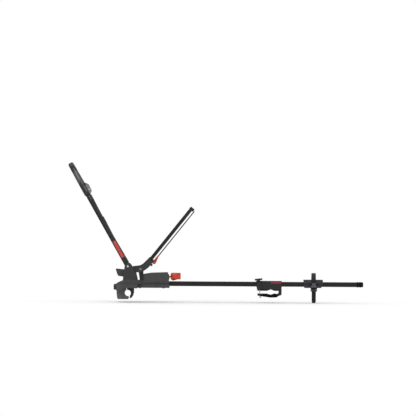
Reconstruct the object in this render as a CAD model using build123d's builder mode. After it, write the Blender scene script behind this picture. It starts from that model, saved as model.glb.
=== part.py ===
"""Roof mounted bike carrier: a rail with a clamping head, two wheel hoops and a wheel tray.

Millimetres. X runs back along the rail, Y across the carrier and Z up. The origin lies on the
axis of the front crossbar opening, at the middle of the rail's width.
"""
import os
from math import cos, radians, sin, sqrt, tan

from build123d import *

os.makedirs("parts", exist_ok=True)

# Clearances and cuts
overrun = 5.0  # how far a cut runs past what it cuts
seat = 0.1  # gap round a piece that is seated in another
run = 0.5  # gap beside a piece that slides or turns
shaft_gap = 0.06  # radial gap of a pin that turns in its hole

# Crossbar and the front clamp
bar_r = 17.5
bar_fit = 0.1
clamp_half = 32.0
saddle_t = 10.5
saddle_arc = 4.0
hook_r = 32.0
hook_x = 34.0
hook_tip_x = 11.5
claw_set_back = 4.0
claw_drop = 33.0
claw_lip = 5.5
claw_neck_half = 12.0
claw_neck_len = 18.0
claw_neck_x = -31.0
claw_pad_t = 2.5
claw_open = 22.0
claw_close = 3.0
clamp_screw_r = 4.0
dial_r = 16.5
dial_t = 12.0
dial_notches = 12
dial_notch_r = 2.2

# Rail and its end cap
rail_w = 38.0
rail_h = 26.0
rail_wall = 2.0
rail_corner = 4.0
rail_start = 10.0
rail_len = 1280.0
cap_lap = 32.0
cap_wall = 1.6
cap_end = 3.6
cap_plug = 20.0

# Head base and shell
base_floor = 12.0
base_h = 22.0
base_step = 2.0
base_front = -36.0
base_wall = 3.0
shell_wall = 3.0
deck_gap = 2.7
nose_len = 66.0
tail_x = 56.0
skirt_front_x = -34.0
skirt_back_x = -20.0
skirt_z = 12.2
box_start = 84.0
box_len = 146.0
box_h = 66.0
box_wall = 2.5
box_edge = 6.0
tail_lap = 12.0
box_gap = 1.5
base_side = 2.5

# Widths across the carrier, from the tyre channel outwards
channel_half = 40.0
arm_t = 6.0
washer_t = 1.0
bracket_t = 10.0
lane_gap = 2.0
leg_t = 10.0
tower_t = 6.0
head_lip = 1.0

# Front hoop pivot and its towers
hoop_x = 1.0
hoop_z = 147.6
tower_r = 17.6
tower_back = 52.5
tower_front = -26.0
tower_foot_t = 5.0
tower_foot_in = 13.0
tower_edge = 2.0
rivet_r = 6.0
rivet_head_r = 9.0
rivet_head_t = 1.6
bush_r = 8.5
washer_r = 12.5

# Tyre cradle between the towers
wheel_r = 336.0
wheel_x = -8.0
cradle_floor_z = 100.0
cradle_front = -67.0
cradle_back = 46.0
cradle_top = 134.0
tyre_flat_half = 12.0
groove_rise = 26.0
cradle_foot_half = 34.0

# Wheel-size adjuster
pivot_x = 69.9
pivot_z = 132.6
adjust_travel = 8.0
adjust_z = 91.0
screw_r = 4.0
screw_front = 97.0
sled_half = 33.5
sled_len = 52.0
sled_top = 100.0
arm_front = 66.0
arm_width = 19.0
cross_wall = 9.0
boss_r = 13.0
stud_r = 5.0
stud_head_r = 6.5
stud_head_t = 1.4
collar_r = 8.0
collar_t = 6.0
bush_wall = 2.5
bush_len = 16.0
knob_start = 235.0
knob_len = 55.0
knob_r = 23.0
knob_core_r = 22.0
knob_tip_r = 9.0
knob_lobes = 3
knob_lobe_t = 11.0

# Rear wheel hoop, bail and cranks
rear_tilt = 51.5
rear_bar_d = 19.0
rear_bar_drop = 10.0
rear_bar_from = 74.0
rear_bar_neck = 362.0
rear_bar_top = 430.0
rear_top_half = 22.0
rear_bend = 24.0
rear_corner = 4.0
bracket_reach = 84.0
bracket_nose_r = 5.6
tip_len = 17.0
tip_depth = 27.0
tip_half = 25.0
crank_at = 74.9
crank_drop = 35.4
crank_gap = 0.4
crank_ring_r = 9.0
crank_pin_r = 3.0
crank_arm_w = 9.0
bail_r = 3.0
bail_drop = 31.0
bail_from = 112.0
bail_neck = 352.0
bail_top = 430.0
bail_top_half = 18.0
bail_bend = 22.0
bail_socket = 14.0

# Front wheel hoop
hoop_tilt = 119.5
hoop_straight = 522.0
hoop_slant_end = 600.0
hoop_top = 645.0
hoop_top_half = 24.0
hoop_bend = 40.0
hoop_bar_t = 6.4
hoop_bar_d = 21.0
hoop_bar_shift = 2.5
hoop_eye_r = 13.0
leg_d = 26.0
cover_t = 13.0
cover_d = 30.0
cover_shift = 2.0
cover_from = 449.0
cover_corner = 5.0
cover_split = 6.0
leg_cover_from = 16.0
leg_cover_ends = (186.0, 307.0, 447.0)
leg_groove_at = 412.0
leg_cover_gap = 1.2
leg_bulge = 3.0
leg_cover_front = 5.5
panel_from = 56.0
panel_to = 158.0
panel_w = 15.0
panel_t = 0.8
pad_from = 562.0
pad_t = 4.0
pad_depth = 20.0
pad_groove_end = 612.0

# Lock on the hoop's near leg
lever_from = 451.0
lever_to = 518.0
lever_t = 7.6
lever_h = 18.0
lever_pin_at = 509.0
lever_pin_r = 1.8
lever_ear_r = 5.0
core_at = 472.0
core_r = 4.6
core_t = 5.0

# Middle crossbar clamp
mid_place_share = 0.5453125
mid_len = 137.0
mid_half = 29.0
mid_top = 71.0
mid_bottom = 24.0
mid_post = 16.0
mid_pad_t = 7.0
mid_notch = 8.0
mid_notch_at = 77.0
mid_notch_rise = 2.0
jaw_notch_sink = 4.0
mid_hinge_r = 2.5
mid_lobe_r = 8.0
mid_lobe_half = 11.0
jaw_t = 15.0
jaw_pad_t = 3.0
jaw_bow = 6.0
jaw_top = -2.0
bolt_at = 10.0
bolt_y = 28.0
bolt_z = 79.0
bolt_lean = 6.0
bolt_r = 3.0
lug_half = 9.5
barrel_r = 6.0
barrel_half = 8.0
mid_knob_r = 21.0
mid_knob_t = 7.0
mid_knob_hub_r = 8.0
mid_knob_notches = 8
label_len = 58.0
label_h = 11.0
label_t = 0.8

# Wheel tray, strap and buckle
tray_place_share = 0.746875
tray_len = 105.0
tray_half = 37.0
tray_floor = 5.5
tray_rise = 7.0
tray_wall = 5.5
tray_skirt = 6.0
tray_groove_half = 12.0
strap_at = 55.0
strap_w = 23.0
strap_t = 2.6
strap_crest = 116.0
strap_half = 41.0
strap_tail_z = -49.0
strap_tooth_pitch = 5.0
strap_tooth_t = 1.2
strap_tooth_len = 2.4
strap_anchor_z = 47.0
buckle_low = 15.0
buckle_h = 33.0
buckle_w = 35.0
buckle_t = 15.0
buckle_wall = 2.8
buckle_back = 2.2
buckle_pin_z = 42.0
buckle_lever_w = 22.0
buckle_lever_low = 36.0
buckle_lever_top = 61.0
buckle_lever_t = 4.4
pawl_pin_z = 24.0
pawl_w = 18.0
small_pin_r = 1.6
spring_wire_r = 0.45
spring_turns = 3
rivet_small_r = 2.0

# Fasteners
screw_small_r = 2.5
screw_head_r = 4.6
screw_head_t = 2.4
screw_len = 14.0
rail_bolt_r = 3.0
rail_bolt_head_r = 5.5
rail_bolt_head_t = 3.6
rail_bolts_at = (66.0, 196.0)

# Places worked out from the sizes
arm_y = channel_half
arm_out = arm_y + arm_t
bracket_y = arm_out + washer_t
bracket_out = bracket_y + bracket_t
leg_y = bracket_out + lane_gap
leg_out = leg_y + leg_t
tower_y = leg_out + washer_t
tower_out = tower_y + tower_t
head_half = tower_out + head_lip
leg_mid = (leg_y + leg_out) / 2
bracket_mid = (bracket_y + bracket_out) / 2

base_z = bar_r + saddle_t
rail_low = base_z + base_floor
rail_z = rail_low + rail_h / 2
rail_top = rail_low + rail_h
rail_end = rail_start + rail_len
part_z = base_z + base_h
deck_z = rail_top + deck_gap + shell_wall
box_end = box_start + box_len
box_half = channel_half - box_gap
base_half = box_half + base_side
wheel_z = cradle_floor_z + wheel_r
clamp_screw_z = base_z + claw_neck_half / 2
sled_front = arm_front
sled_low = rail_top + run
bush_r_out = screw_r + bush_wall
claw_len = nose_len - claw_set_back
mid_x = rail_start + mid_place_share * rail_len
mid_end = mid_x + mid_len
mid_hinge_x = mid_end - mid_lobe_r
mid_notch_x = mid_x + mid_notch_at
bolt_x = mid_x + bolt_at
label_from = mid_end - base_step - label_len
tray_x = rail_start + tray_place_share * rail_len
strap_x = tray_x + strap_at


def side_plane(y):
    """Plane along the carrier at the given Y, from which extrusions run towards -Y."""
    return Plane.XZ.offset(-y)


def leaned(x, z, tilt, y=0):
    """Side plane whose sketch X runs up a hoop and whose sketch Y faces the carrier's front."""
    along = (cos(radians(tilt)), 0, sin(radians(tilt)))
    return Plane(origin=(x, y, z), x_dir=along, z_dir=(0, -1, 0))


def hoop_plane(x, z, tilt):
    """A hoop's own plane: sketch X runs up the hoop and sketch Y across the carrier."""
    along = (cos(radians(tilt)), 0, sin(radians(tilt)))
    return Plane(origin=(x, 0, z), x_dir=along, z_dir=(-sin(radians(tilt)), 0, cos(radians(tilt))))


def section_plane(path):
    """Plane square to the start of a hoop's path, with its sketch X across the carrier."""
    return Plane(origin=path @ 0, x_dir=(0, 1, 0), z_dir=path % 0)


def square_to(x, z, tilt, up, out, y=0):
    """Plane square to a hoop at a place up it, with its sketch X across the carrier."""
    c = cos(radians(tilt))
    s = sin(radians(tilt))
    origin = (x + up * c - out * s, y, z + up * s + out * c)
    return Plane(origin=origin, x_dir=(0, 1, 0), z_dir=(c, 0, s))


def scaled(shares, x0, z0, length, height):
    """Outline points from shares of a length and a height, counted from a corner."""
    return [(x0 + u * length, z0 + v * height) for u, v in shares]


def slab(points, y_low, y_high, mode=Mode.ADD):
    """A side outline made solid between two places across the carrier."""
    with BuildSketch(side_plane(y_high)) as outline:
        Polygon(*points, align=None)
    extrude(outline.sketch, amount=y_high - y_low, mode=mode)


def post(x, z, r, y_low, y_high, mode=Mode.ADD):
    """A round bar across the carrier, or its hole."""
    with BuildSketch(side_plane(y_high)) as disc:
        with Locations((x, z)):
            Circle(r)
    extrude(disc.sketch, amount=y_high - y_low, mode=mode)


def shaft(x_low, x_high, y, z, r, mode=Mode.ADD):
    """A round bar along the carrier, or its hole."""
    with BuildSketch(Plane.YZ.offset(x_low)) as disc:
        with Locations((y, z)):
            Circle(r)
    extrude(disc.sketch, amount=x_high - x_low, mode=mode)


def upright(x, y, z_low, z_high, r, mode=Mode.ADD):
    """A round bar standing up, or its hole."""
    with BuildSketch(Plane.XY.offset(z_low)) as disc:
        with Locations((x, y)):
            Circle(r)
    extrude(disc.sketch, amount=z_high - z_low, mode=mode)


def block(x_low, x_high, y_low, y_high, z_low, z_high, mode=Mode.ADD):
    """A square block between two corners."""
    with BuildSketch(Plane.XY.offset(z_low)) as foot:
        with Locations(((x_low + x_high) / 2, (y_low + y_high) / 2)):
            Rectangle(x_high - x_low, y_high - y_low)
    extrude(foot.sketch, amount=z_high - z_low, mode=mode)


def finish(piece, name):
    """Label a finished piece and write its file."""
    piece.part.label = name
    export_step(piece.part, "parts/" + name + ".step")


# Rail: a rounded rectangular tube with holes for the bolts in its floor
with BuildPart() as rail:
    with BuildSketch(Plane.YZ.offset(rail_start)):
        with Locations((0, rail_z)):
            RectangleRounded(rail_w, rail_h, rail_corner)
            RectangleRounded(
                rail_w - 2 * rail_wall,
                rail_h - 2 * rail_wall,
                rail_corner - rail_wall,
                mode=Mode.SUBTRACT,
            )
    extrude(amount=rail_len)
    for bolt_place in rail_bolts_at:
        upright(bolt_place, 0, rail_low - overrun, rail_z, rail_bolt_r + seat, Mode.SUBTRACT)
finish(rail, "rail")

# End cap: a sleeve over the rail's end with a plug inside it
with BuildPart() as rail_end_cap:
    with BuildSketch(Plane.YZ.offset(rail_end - cap_lap)):
        with Locations((0, rail_z)):
            RectangleRounded(rail_w + 2 * cap_wall, rail_h + 2 * cap_wall, rail_corner + cap_wall)
    extrude(amount=cap_lap + cap_end)
    fillet(rail_end_cap.faces().sort_by(Axis.X)[-1].edges(), cap_end * 0.8)
    with BuildSketch(Plane.YZ.offset(rail_end - cap_lap)):
        with Locations((0, rail_z)):
            RectangleRounded(rail_w + 2 * seat, rail_h + 2 * seat, rail_corner + seat)
    extrude(amount=cap_lap, mode=Mode.SUBTRACT)
    with BuildSketch(Plane.YZ.offset(rail_end - cap_plug)):
        with Locations((0, rail_z)):
            RectangleRounded(
                rail_w - 2 * rail_wall - 2 * seat,
                rail_h - 2 * rail_wall - 2 * seat,
                rail_corner - rail_wall,
            )
            RectangleRounded(
                rail_w - 4 * rail_wall, rail_h - 4 * rail_wall, rail_corner - rail_wall, mode=Mode.SUBTRACT
            )
    extrude(amount=cap_plug)
finish(rail_end_cap, "rail_end_cap")

# Head base: the tray that the rail is bolted into, wide under the towers
slot_half = claw_neck_half + run
with BuildPart() as head_base:
    with BuildSketch(Plane.XY.offset(base_z)):
        Polygon(
            (base_front, head_half * 0.78),
            (-nose_len * 0.3, head_half - shell_wall - seat),
            (tail_x - shell_wall, head_half - shell_wall - seat),
            (tail_x - shell_wall, shell_wall - head_half + seat),
            (-nose_len * 0.3, shell_wall - head_half + seat),
            (base_front, -head_half * 0.78),
            align=None,
        )
    extrude(amount=base_h)
    block(
        tail_x - shell_wall - overrun, box_end - base_wall * 0.4, -base_half, base_half,
        base_z + base_step, part_z,
    )
    fillet(head_base.edges().filter_by(Axis.X).group_by(Axis.Z)[0], base_step)
    # Channel for the rail, and room beside it
    block(
        rail_start - seat, box_end + overrun, -rail_w / 2 - seat, rail_w / 2 + seat,
        rail_low, part_z + overrun, Mode.SUBTRACT,
    )
    for side in (-1, 1):
        pocket = sorted((side * (rail_w / 2 + base_wall), side * (base_half - base_wall)))
        block(
            tail_x + base_wall, box_end - 3 * base_wall, pocket[0], pocket[1],
            base_z + base_step + base_wall, part_z + overrun, Mode.SUBTRACT,
        )
    # Slot for the claw's neck and its screw
    block(
        base_front - overrun, rail_start + 2 * overrun, -slot_half, slot_half,
        base_z - overrun, rail_low + run, Mode.SUBTRACT,
    )
    block(
        base_front - overrun, rail_start - base_wall, -slot_half, slot_half,
        rail_low, part_z + overrun, Mode.SUBTRACT,
    )
    for bolt_place in rail_bolts_at:
        upright(bolt_place, 0, base_z - overrun, rail_low + overrun, rail_bolt_r + seat, Mode.SUBTRACT)
finish(head_base, "head_base")

# Upper head shell: a nose and deck over the base, and the long adjuster box behind
nose_shares = [(-0.94, 0.17), (-1, 0.27), (-1, 0.70), (-0.86, 0.805), (-0.53, 0.936), (-0.36, 1)]
plan_shares = [(-1, 0.5), (-0.68, 0.83), (-0.36, 1)]
box_shares = [(0, 0), (0.01, 0.84), (0.315, 0.95), (0.918, 1), (1, 0.606), (0.966, 0.273), (0.993, 0)]
nose_points = scaled(nose_shares, 0, 0, nose_len, deck_z)
plan_points = scaled(plan_shares, 0, 0, nose_len, head_half)
plan_points += [
    (tail_x, head_half), (box_start, box_half + shell_wall), (box_start + tail_lap, box_half),
]
plan_ring = plan_points + [(x, -y) for x, y in reversed(plan_points)]
box_points = scaled(box_shares, box_start, part_z, box_len, box_h)
mouth_x = sled_front - adjust_travel - 2 * run
with BuildPart() as box_form:
    with BuildSketch(Plane.XZ):
        Polygon(*box_points, align=None)
    extrude(amount=box_half, both=True)
    long_edges = box_form.edges().filter_by(lambda e: abs(e.tangent_at(0).X) > 0.9)
    fillet(long_edges.filter_by(lambda e: e.center().Z > part_z + box_h / 2), box_edge)
with BuildPart() as head_shell:
    with BuildSketch(Plane.XZ):
        Polygon(
            *nose_points,
            (box_start + tail_lap, deck_z),
            (box_start + tail_lap, part_z),
            (tail_x, part_z),
            (tail_x - shell_wall, base_z),
            (skirt_back_x, base_z),
            (skirt_front_x, skirt_z),
            align=None,
        )
    extrude(amount=head_half, both=True)
    with BuildSketch(Plane.XY):
        Polygon(*plan_ring, align=None)
    extrude(amount=deck_z, mode=Mode.INTERSECT)
    rim = head_shell.faces().sort_by(Axis.Z)[-1].edges()
    fillet(rim.filter_by(lambda e: e.center().X < tail_x + overrun), shell_wall * 0.8)
    add(box_form.part)
    # Hollow under the deck
    with BuildSketch(Plane.XZ.offset(-head_half)) as nose_hollow:
        Polygon(
            *nose_points,
            (box_start + tail_lap + overrun, deck_z),
            (box_start + tail_lap + overrun, -overrun),
            (-nose_len, -overrun),
            align=None,
        )
        offset(amount=-shell_wall, kind=Kind.INTERSECTION)
    with BuildSketch(Plane.XY.offset(-2 * overrun)) as plan_hollow:
        Polygon(*plan_ring, align=None)
        offset(amount=-shell_wall, kind=Kind.INTERSECTION)
    hollow = extrude(nose_hollow.sketch, amount=2 * head_half, mode=Mode.PRIVATE)
    hollow = hollow & extrude(plan_hollow.sketch, amount=2 * deck_z, mode=Mode.PRIVATE)
    add(hollow, mode=Mode.SUBTRACT)
    # Hollow of the box, its open foot and the mouth that the carriage slides through
    with BuildSketch(side_plane(box_half - box_wall)) as box_hollow:
        Polygon(*box_points, align=None)
        offset(amount=-box_wall, kind=Kind.INTERSECTION)
    extrude(box_hollow.sketch, amount=2 * (box_half - box_wall), mode=Mode.SUBTRACT)
    block(
        box_start - overrun, box_end - 3 * box_wall, box_wall - box_half, box_half - box_wall,
        part_z - overrun, deck_z, Mode.SUBTRACT,
    )
    block(
        mouth_x, box_start + 2 * box_wall, box_wall - box_half, box_half - box_wall,
        deck_z - 2 * shell_wall, sled_top + 2 * run, Mode.SUBTRACT,
    )
    # Way out of the rail through the end wall
    block(
        box_end - 4 * box_wall, box_end + overrun, -rail_w / 2 - seat, rail_w / 2 + seat,
        part_z - overrun, rail_top + seat, Mode.SUBTRACT,
    )
    # Boss for the screw's bush
    shaft(box_end - bush_len, box_end - box_wall, 0, adjust_z, bush_r_out + 2 * box_wall)
    shaft(box_start, box_end + overrun, 0, adjust_z, bush_r_out, Mode.SUBTRACT)
    # Hole that the clamp dial's stem comes through
    shaft(-nose_len - overrun, 0, 0, clamp_screw_z, clamp_screw_r + run, Mode.SUBTRACT)
finish(head_shell, "head_shell")

# Tower plates beside the hoop legs, each with a foot on the deck
with BuildPart() as tower:
    with BuildSketch(side_plane(-tower_y)):
        with Locations((hoop_x, hoop_z)):
            Circle(tower_r)
        Polygon(
            (tower_front, deck_z),
            (tower_front, deck_z + tower_foot_t),
            (tower_back * 0.85, deck_z + tower_r * 2.2),
            (tower_back, deck_z + tower_foot_t),
            (tower_back, deck_z),
            align=None,
        )
        make_hull()
    extrude(amount=tower_t)
    outer_edges = tower.faces().sort_by(Axis.Y)[0].edges()
    fillet(outer_edges.filter_by(lambda e: e.center().Z > deck_z + seat), tower_edge)
    block(
        tower_front + tower_foot_t, tower_back - tower_foot_t, -tower_y - seat, -tower_y + tower_foot_in,
        deck_z, deck_z + tower_foot_t,
    )
    post(hoop_x, hoop_z, rivet_r + shaft_gap, -tower_out - overrun, -tower_y + overrun, Mode.SUBTRACT)
    for share in (0.18, 0.82):
        foot_screw_x = tower_front + share * (tower_back - tower_front)
        upright(
            foot_screw_x, -tower_y + tower_foot_in / 2, deck_z - overrun, deck_z + 2 * tower_foot_t,
            screw_small_r + seat, Mode.SUBTRACT,
        )
finish(tower, "tower_left")
with BuildPart() as tower_right:
    add(mirror(tower.part, about=Plane.XZ, mode=Mode.PRIVATE))
finish(tower_right, "tower_right")

# Rivets that the front hoop turns on, one in each tower
with BuildPart() as hoop_rivets:
    post(hoop_x, hoop_z, rivet_r, -tower_out, -leg_y)
    post(hoop_x, hoop_z, rivet_r * 0.92, -tower_out - rivet_head_t, -tower_out)
    post(hoop_x, hoop_z, rivet_head_r, -leg_y + seat, -leg_y + seat + rivet_head_t)
    post(hoop_x, hoop_z, rivet_r, -leg_y, -leg_y + seat)
    fillet(hoop_rivets.faces().sort_by(Axis.Y)[0].edges(), rivet_head_t * 0.6)
    mirror(about=Plane.XZ)
finish(hoop_rivets, "hoop_rivets")

# Friction washers between the hoop legs and the towers
with BuildPart() as hoop_washers:
    post(hoop_x, hoop_z, washer_r, -tower_y, -leg_out - shaft_gap)
    post(hoop_x, hoop_z, rivet_r + seat, -tower_y - overrun, -leg_out + overrun, Mode.SUBTRACT)
    mirror(about=Plane.XZ)
finish(hoop_washers, "hoop_washers")

# Tyre cradle: a wing between the towers, grooved to the wheel's round
cradle_shares = [
    (0, 1), (0.065, 0.62), (0.11, 0.42), (0.16, 0.36), (0.37, 0.30), (0.37, 0), (1, 0), (1, 0.66),
    (0.75, 0.86),
]
with BuildPart() as tyre_cradle:
    slab(
        scaled(cradle_shares, cradle_front, deck_z, cradle_back - cradle_front, cradle_top - deck_z),
        -arm_out, arm_out,
    )
    fillet(tyre_cradle.edges().filter_by(Axis.Y).sort_by(Axis.X)[:2], tower_edge)
    with BuildSketch(Plane.YZ.offset(wheel_x)) as tyre_room:
        Polygon(
            (-channel_half, wheel_z),
            (-channel_half, cradle_floor_z + groove_rise),
            (-tyre_flat_half, cradle_floor_z),
            (tyre_flat_half, cradle_floor_z),
            (channel_half, cradle_floor_z + groove_rise),
            (channel_half, wheel_z),
            align=None,
        )
    wheel_axis = Axis((wheel_x, 0, wheel_z), (0, 1, 0))
    revolve(tyre_room.sketch, axis=wheel_axis, mode=Mode.SUBTRACT)
    # Side pockets leave a foot under the channel
    for side in (-1, 1):
        pocket = sorted((side * cradle_foot_half, side * (arm_out + overrun)))
        block(
            cradle_front - overrun, cradle_back + overrun, pocket[0], pocket[1],
            deck_z - overrun, cradle_floor_z - 2 * shell_wall, Mode.SUBTRACT,
        )
    for share in (0.45, 0.92):
        cradle_screw_x = cradle_front + share * (cradle_back - cradle_front)
        upright(cradle_screw_x, 0, deck_z - overrun, wheel_z, screw_small_r + seat, Mode.SUBTRACT)
        upright(
            cradle_screw_x, 0, cradle_floor_z - 2 * screw_head_t, wheel_z, screw_head_r + seat, Mode.SUBTRACT
        )
finish(tyre_cradle, "tyre_cradle")

# Small screws of the head: tower feet and cradle
with BuildPart() as head_screws:
    for share in (0.18, 0.82):
        foot_screw_x = tower_front + share * (tower_back - tower_front)
        for side in (-1, 1):
            screw_y = side * (tower_y - tower_foot_in / 2)
            foot_top = deck_z + tower_foot_t
            upright(foot_screw_x, screw_y, deck_z, foot_top, screw_small_r)
            upright(foot_screw_x, screw_y, foot_top, foot_top + screw_head_t, screw_head_r)
    for share in (0.45, 0.92):
        cradle_screw_x = cradle_front + share * (cradle_back - cradle_front)
        head_foot = cradle_floor_z - 2 * screw_head_t
        upright(cradle_screw_x, 0, deck_z, head_foot, screw_small_r)
        upright(cradle_screw_x, 0, head_foot, head_foot + screw_head_t, screw_head_r)
finish(head_screws, "head_screws")

# Bolts that hold the rail in the base, with their nuts inside the rail
with BuildPart() as rail_bolts:
    for bolt_place in rail_bolts_at:
        bolt_foot = base_z + base_step
        bolt_top = rail_low + rail_wall + rail_bolt_head_t
        upright(bolt_place, 0, bolt_foot, bolt_top + base_step, rail_bolt_r)
        upright(bolt_place, 0, bolt_foot - rail_bolt_head_t, bolt_foot, rail_bolt_head_r)
        # Nut inside the rail
        with BuildSketch(Plane.XY.offset(rail_low + rail_wall)):
            with Locations((bolt_place, 0)):
                RegularPolygon(rail_bolt_head_r, 6)
                Circle(rail_bolt_r * 0.9, mode=Mode.SUBTRACT)
        extrude(amount=rail_bolt_head_t)
finish(rail_bolts, "rail_bolts")

# Fixed hook behind the crossbar, and the rubber saddle above it
grip_r = bar_r + bar_fit
with BuildPart() as front_hook:
    with BuildSketch(side_plane(clamp_half)):
        Circle(hook_r)
        with Locations((hook_r, 0)):
            Rectangle(2 * hook_r, 2 * hook_r, mode=Mode.INTERSECT)
        Polygon(
            (saddle_arc, 0), (saddle_arc, base_z), (hook_x, base_z), (hook_x, 0), align=None
        )
        Circle(grip_r, mode=Mode.SUBTRACT)
        with Locations((hook_tip_x / 2 - overrun, 0)):
            Rectangle(hook_tip_x + 2 * overrun, 3 * hook_r, mode=Mode.SUBTRACT)
        with Locations((hook_r, base_z + hook_r)):
            Rectangle(3 * hook_r, 2 * hook_r, mode=Mode.SUBTRACT)
    extrude(amount=2 * clamp_half)
    tip_edges = front_hook.edges().filter_by(Axis.Y).sort_by(Axis.Z)[:2]
    fillet(tip_edges, shell_wall * 0.5)
finish(front_hook, "front_hook")
with BuildPart() as saddle_pad:
    with BuildSketch(side_plane(clamp_half)):
        with Locations((hook_tip_x / 2 - saddle_arc / 2, (base_z + bar_r / 2) / 2)):
            Rectangle(hook_tip_x + saddle_arc - seat, base_z - bar_r / 2)
        Circle(grip_r, mode=Mode.SUBTRACT)
    extrude(amount=2 * clamp_half)
finish(saddle_pad, "saddle_pad")

# Sliding claw in front of the crossbar, its rubber liner, and the nut in its neck
claw_shares = [
    (-1, 0.20), (-0.94, -0.76), (-0.87, -1), (0.065, -1), (0.089, -0.70), (0.044, -0.52),
    (0.044, 0), (-0.13, 0), (-0.13, 0.826), (-0.56, 0.826), (-0.57, 0.33), (-0.94, 0.33),
]
with BuildPart() as front_claw:
    with BuildSketch(side_plane(clamp_half)):
        Polygon(*scaled(claw_shares, 0, 0, claw_len, claw_drop), align=None)
        Circle(grip_r, mode=Mode.SUBTRACT)
    extrude(amount=2 * clamp_half)
    fillet(front_claw.edges().filter_by(Axis.Y).sort_by(Axis.Z)[:1], shell_wall)
    block(
        claw_neck_x, claw_neck_x + claw_neck_len, -claw_neck_half, claw_neck_half,
        base_z - shell_wall, clamp_screw_z + claw_neck_half,
    )
    shaft(-nose_len, rail_start, 0, clamp_screw_z, clamp_screw_r + 2 * run + seat, Mode.SUBTRACT)
    with BuildSketch(side_plane(clamp_half - shell_wall)) as pad_room:
        Circle(grip_r + claw_pad_t + seat)
        with Locations((-grip_r, 0)):
            Rectangle(grip_r, 4 * grip_r, mode=Mode.INTERSECT)
    extrude(pad_room.sketch, amount=2 * (clamp_half - shell_wall), mode=Mode.SUBTRACT)
    # Ribs of the claw's hollow foot
    for side in (-1, 1):
        for share in (0.25, 0.62):
            hollow_y = side * share * clamp_half
            block(
                -claw_len * 0.86, -bar_r * 1.35, hollow_y - clamp_half * 0.13, hollow_y + clamp_half * 0.13,
                -claw_drop - overrun, -claw_drop * 0.35, Mode.SUBTRACT,
            )
finish(front_claw, "front_claw")
with BuildPart() as claw_pad:
    with BuildSketch(side_plane(clamp_half - shell_wall - seat)):
        Circle(grip_r + claw_pad_t)
        Circle(grip_r, mode=Mode.SUBTRACT)
        with Locations((-grip_r, 0)):
            Rectangle(grip_r, 4 * grip_r, mode=Mode.INTERSECT)
    extrude(amount=2 * (clamp_half - shell_wall - seat))
finish(claw_pad, "claw_pad")
with BuildPart() as claw_nut:
    shaft(
        claw_neck_x + seat, claw_neck_x + claw_neck_len - seat, 0, clamp_screw_z, clamp_screw_r + 2 * run,
    )
    shaft(-nose_len, rail_start, 0, clamp_screw_z, clamp_screw_r + shaft_gap, Mode.SUBTRACT)
finish(claw_nut, "claw_nut")

# Clamp screw and the notched dial on the nose that turns it
with BuildPart() as clamp_screw:
    shaft(-nose_len - dial_t, rail_start - 2 * run, 0, clamp_screw_z, clamp_screw_r)
finish(clamp_screw, "clamp_screw")
with BuildPart() as clamp_dial:
    shaft(-nose_len - run - dial_t, -nose_len - run, 0, clamp_screw_z, dial_r)
    fillet(clamp_dial.edges().group_by(Axis.X)[0], dial_t * 0.25)
    for notch in range(dial_notches):
        notch_angle = radians(notch * 360 / dial_notches)
        shaft(
            -nose_len - 2 * dial_t, -nose_len + overrun,
            dial_r * cos(notch_angle), clamp_screw_z + dial_r * sin(notch_angle), dial_notch_r, Mode.SUBTRACT,
        )
    shaft(-nose_len - dial_t, -nose_len, 0, clamp_screw_z, clamp_screw_r, Mode.SUBTRACT)
finish(clamp_dial, "clamp_dial")

# Carriage: a sled in the box with two arms up to the rear hoop's pivot
arm_shares = [(0, 0), (1.05, 0), (0.95, 0.64), (1.0, 1.0), (-0.4, 1.0), (-0.35, 0.8)]
with BuildPart() as carriage:
    block(sled_front + run, sled_front + sled_len, -sled_half, sled_half, sled_low, sled_top)
    block(
        sled_front, sled_front + cross_wall, -arm_out, arm_out, deck_z + run, sled_top + run,
    )
    for side in (-1, 1):
        arm_span = sorted((side * arm_y, side * arm_out))
        slab(
            scaled(arm_shares, arm_front, deck_z + run, arm_width, pivot_z - deck_z - run),
            arm_span[0], arm_span[1],
        )
        post(pivot_x, pivot_z, boss_r, arm_span[0], arm_span[1])
    post(pivot_x, pivot_z, stud_r, -arm_out - overrun, arm_out + overrun, Mode.SUBTRACT)
    # Room for the tyre over the cross wall, the screw and its nut
    revolve(tyre_room.sketch, axis=wheel_axis, mode=Mode.SUBTRACT)
    screw_room = screw_front - adjust_travel - overrun
    shaft(screw_room, box_end, 0, adjust_z, screw_r + 2 * run, Mode.SUBTRACT)
    shaft(
        sled_front + sled_len - bush_len, box_end, 0, adjust_z, bush_r_out + run, Mode.SUBTRACT
    )
    block(
        sled_front + 2 * cross_wall, sled_front + sled_len - bush_len - shell_wall,
        -sled_half + shell_wall, sled_half - shell_wall, sled_low - overrun, adjust_z - 3 * screw_r,
        Mode.SUBTRACT,
    )
finish(carriage, "carriage")
with BuildPart() as lead_nut:
    shaft(
        sled_front + sled_len - bush_len + seat, sled_front + sled_len + seat, 0, adjust_z,
        bush_r_out + run - seat,
    )
    shaft(screw_front, box_end, 0, adjust_z, screw_r + shaft_gap, Mode.SUBTRACT)
finish(lead_nut, "lead_nut")

# Studs of the rear hoop's pivot in the carriage arms, with their friction washers
with BuildPart() as pivot_studs:
    post(pivot_x, pivot_z, stud_r, -bracket_out - shaft_gap, -arm_y)
    post(
        pivot_x, pivot_z, stud_head_r, -bracket_out - shaft_gap - stud_head_t, -bracket_out - shaft_gap
    )
    fillet(pivot_studs.faces().sort_by(Axis.Y)[0].edges(), stud_head_t * 0.5)
    mirror(about=Plane.XZ)
finish(pivot_studs, "pivot_studs")
with BuildPart() as pivot_washers:
    post(pivot_x, pivot_z, boss_r - run, -bracket_y + shaft_gap, -arm_out)
    post(pivot_x, pivot_z, stud_r + seat, -bracket_y - overrun, -arm_out + overrun, Mode.SUBTRACT)
    mirror(about=Plane.XZ)
finish(pivot_washers, "pivot_washers")

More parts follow.
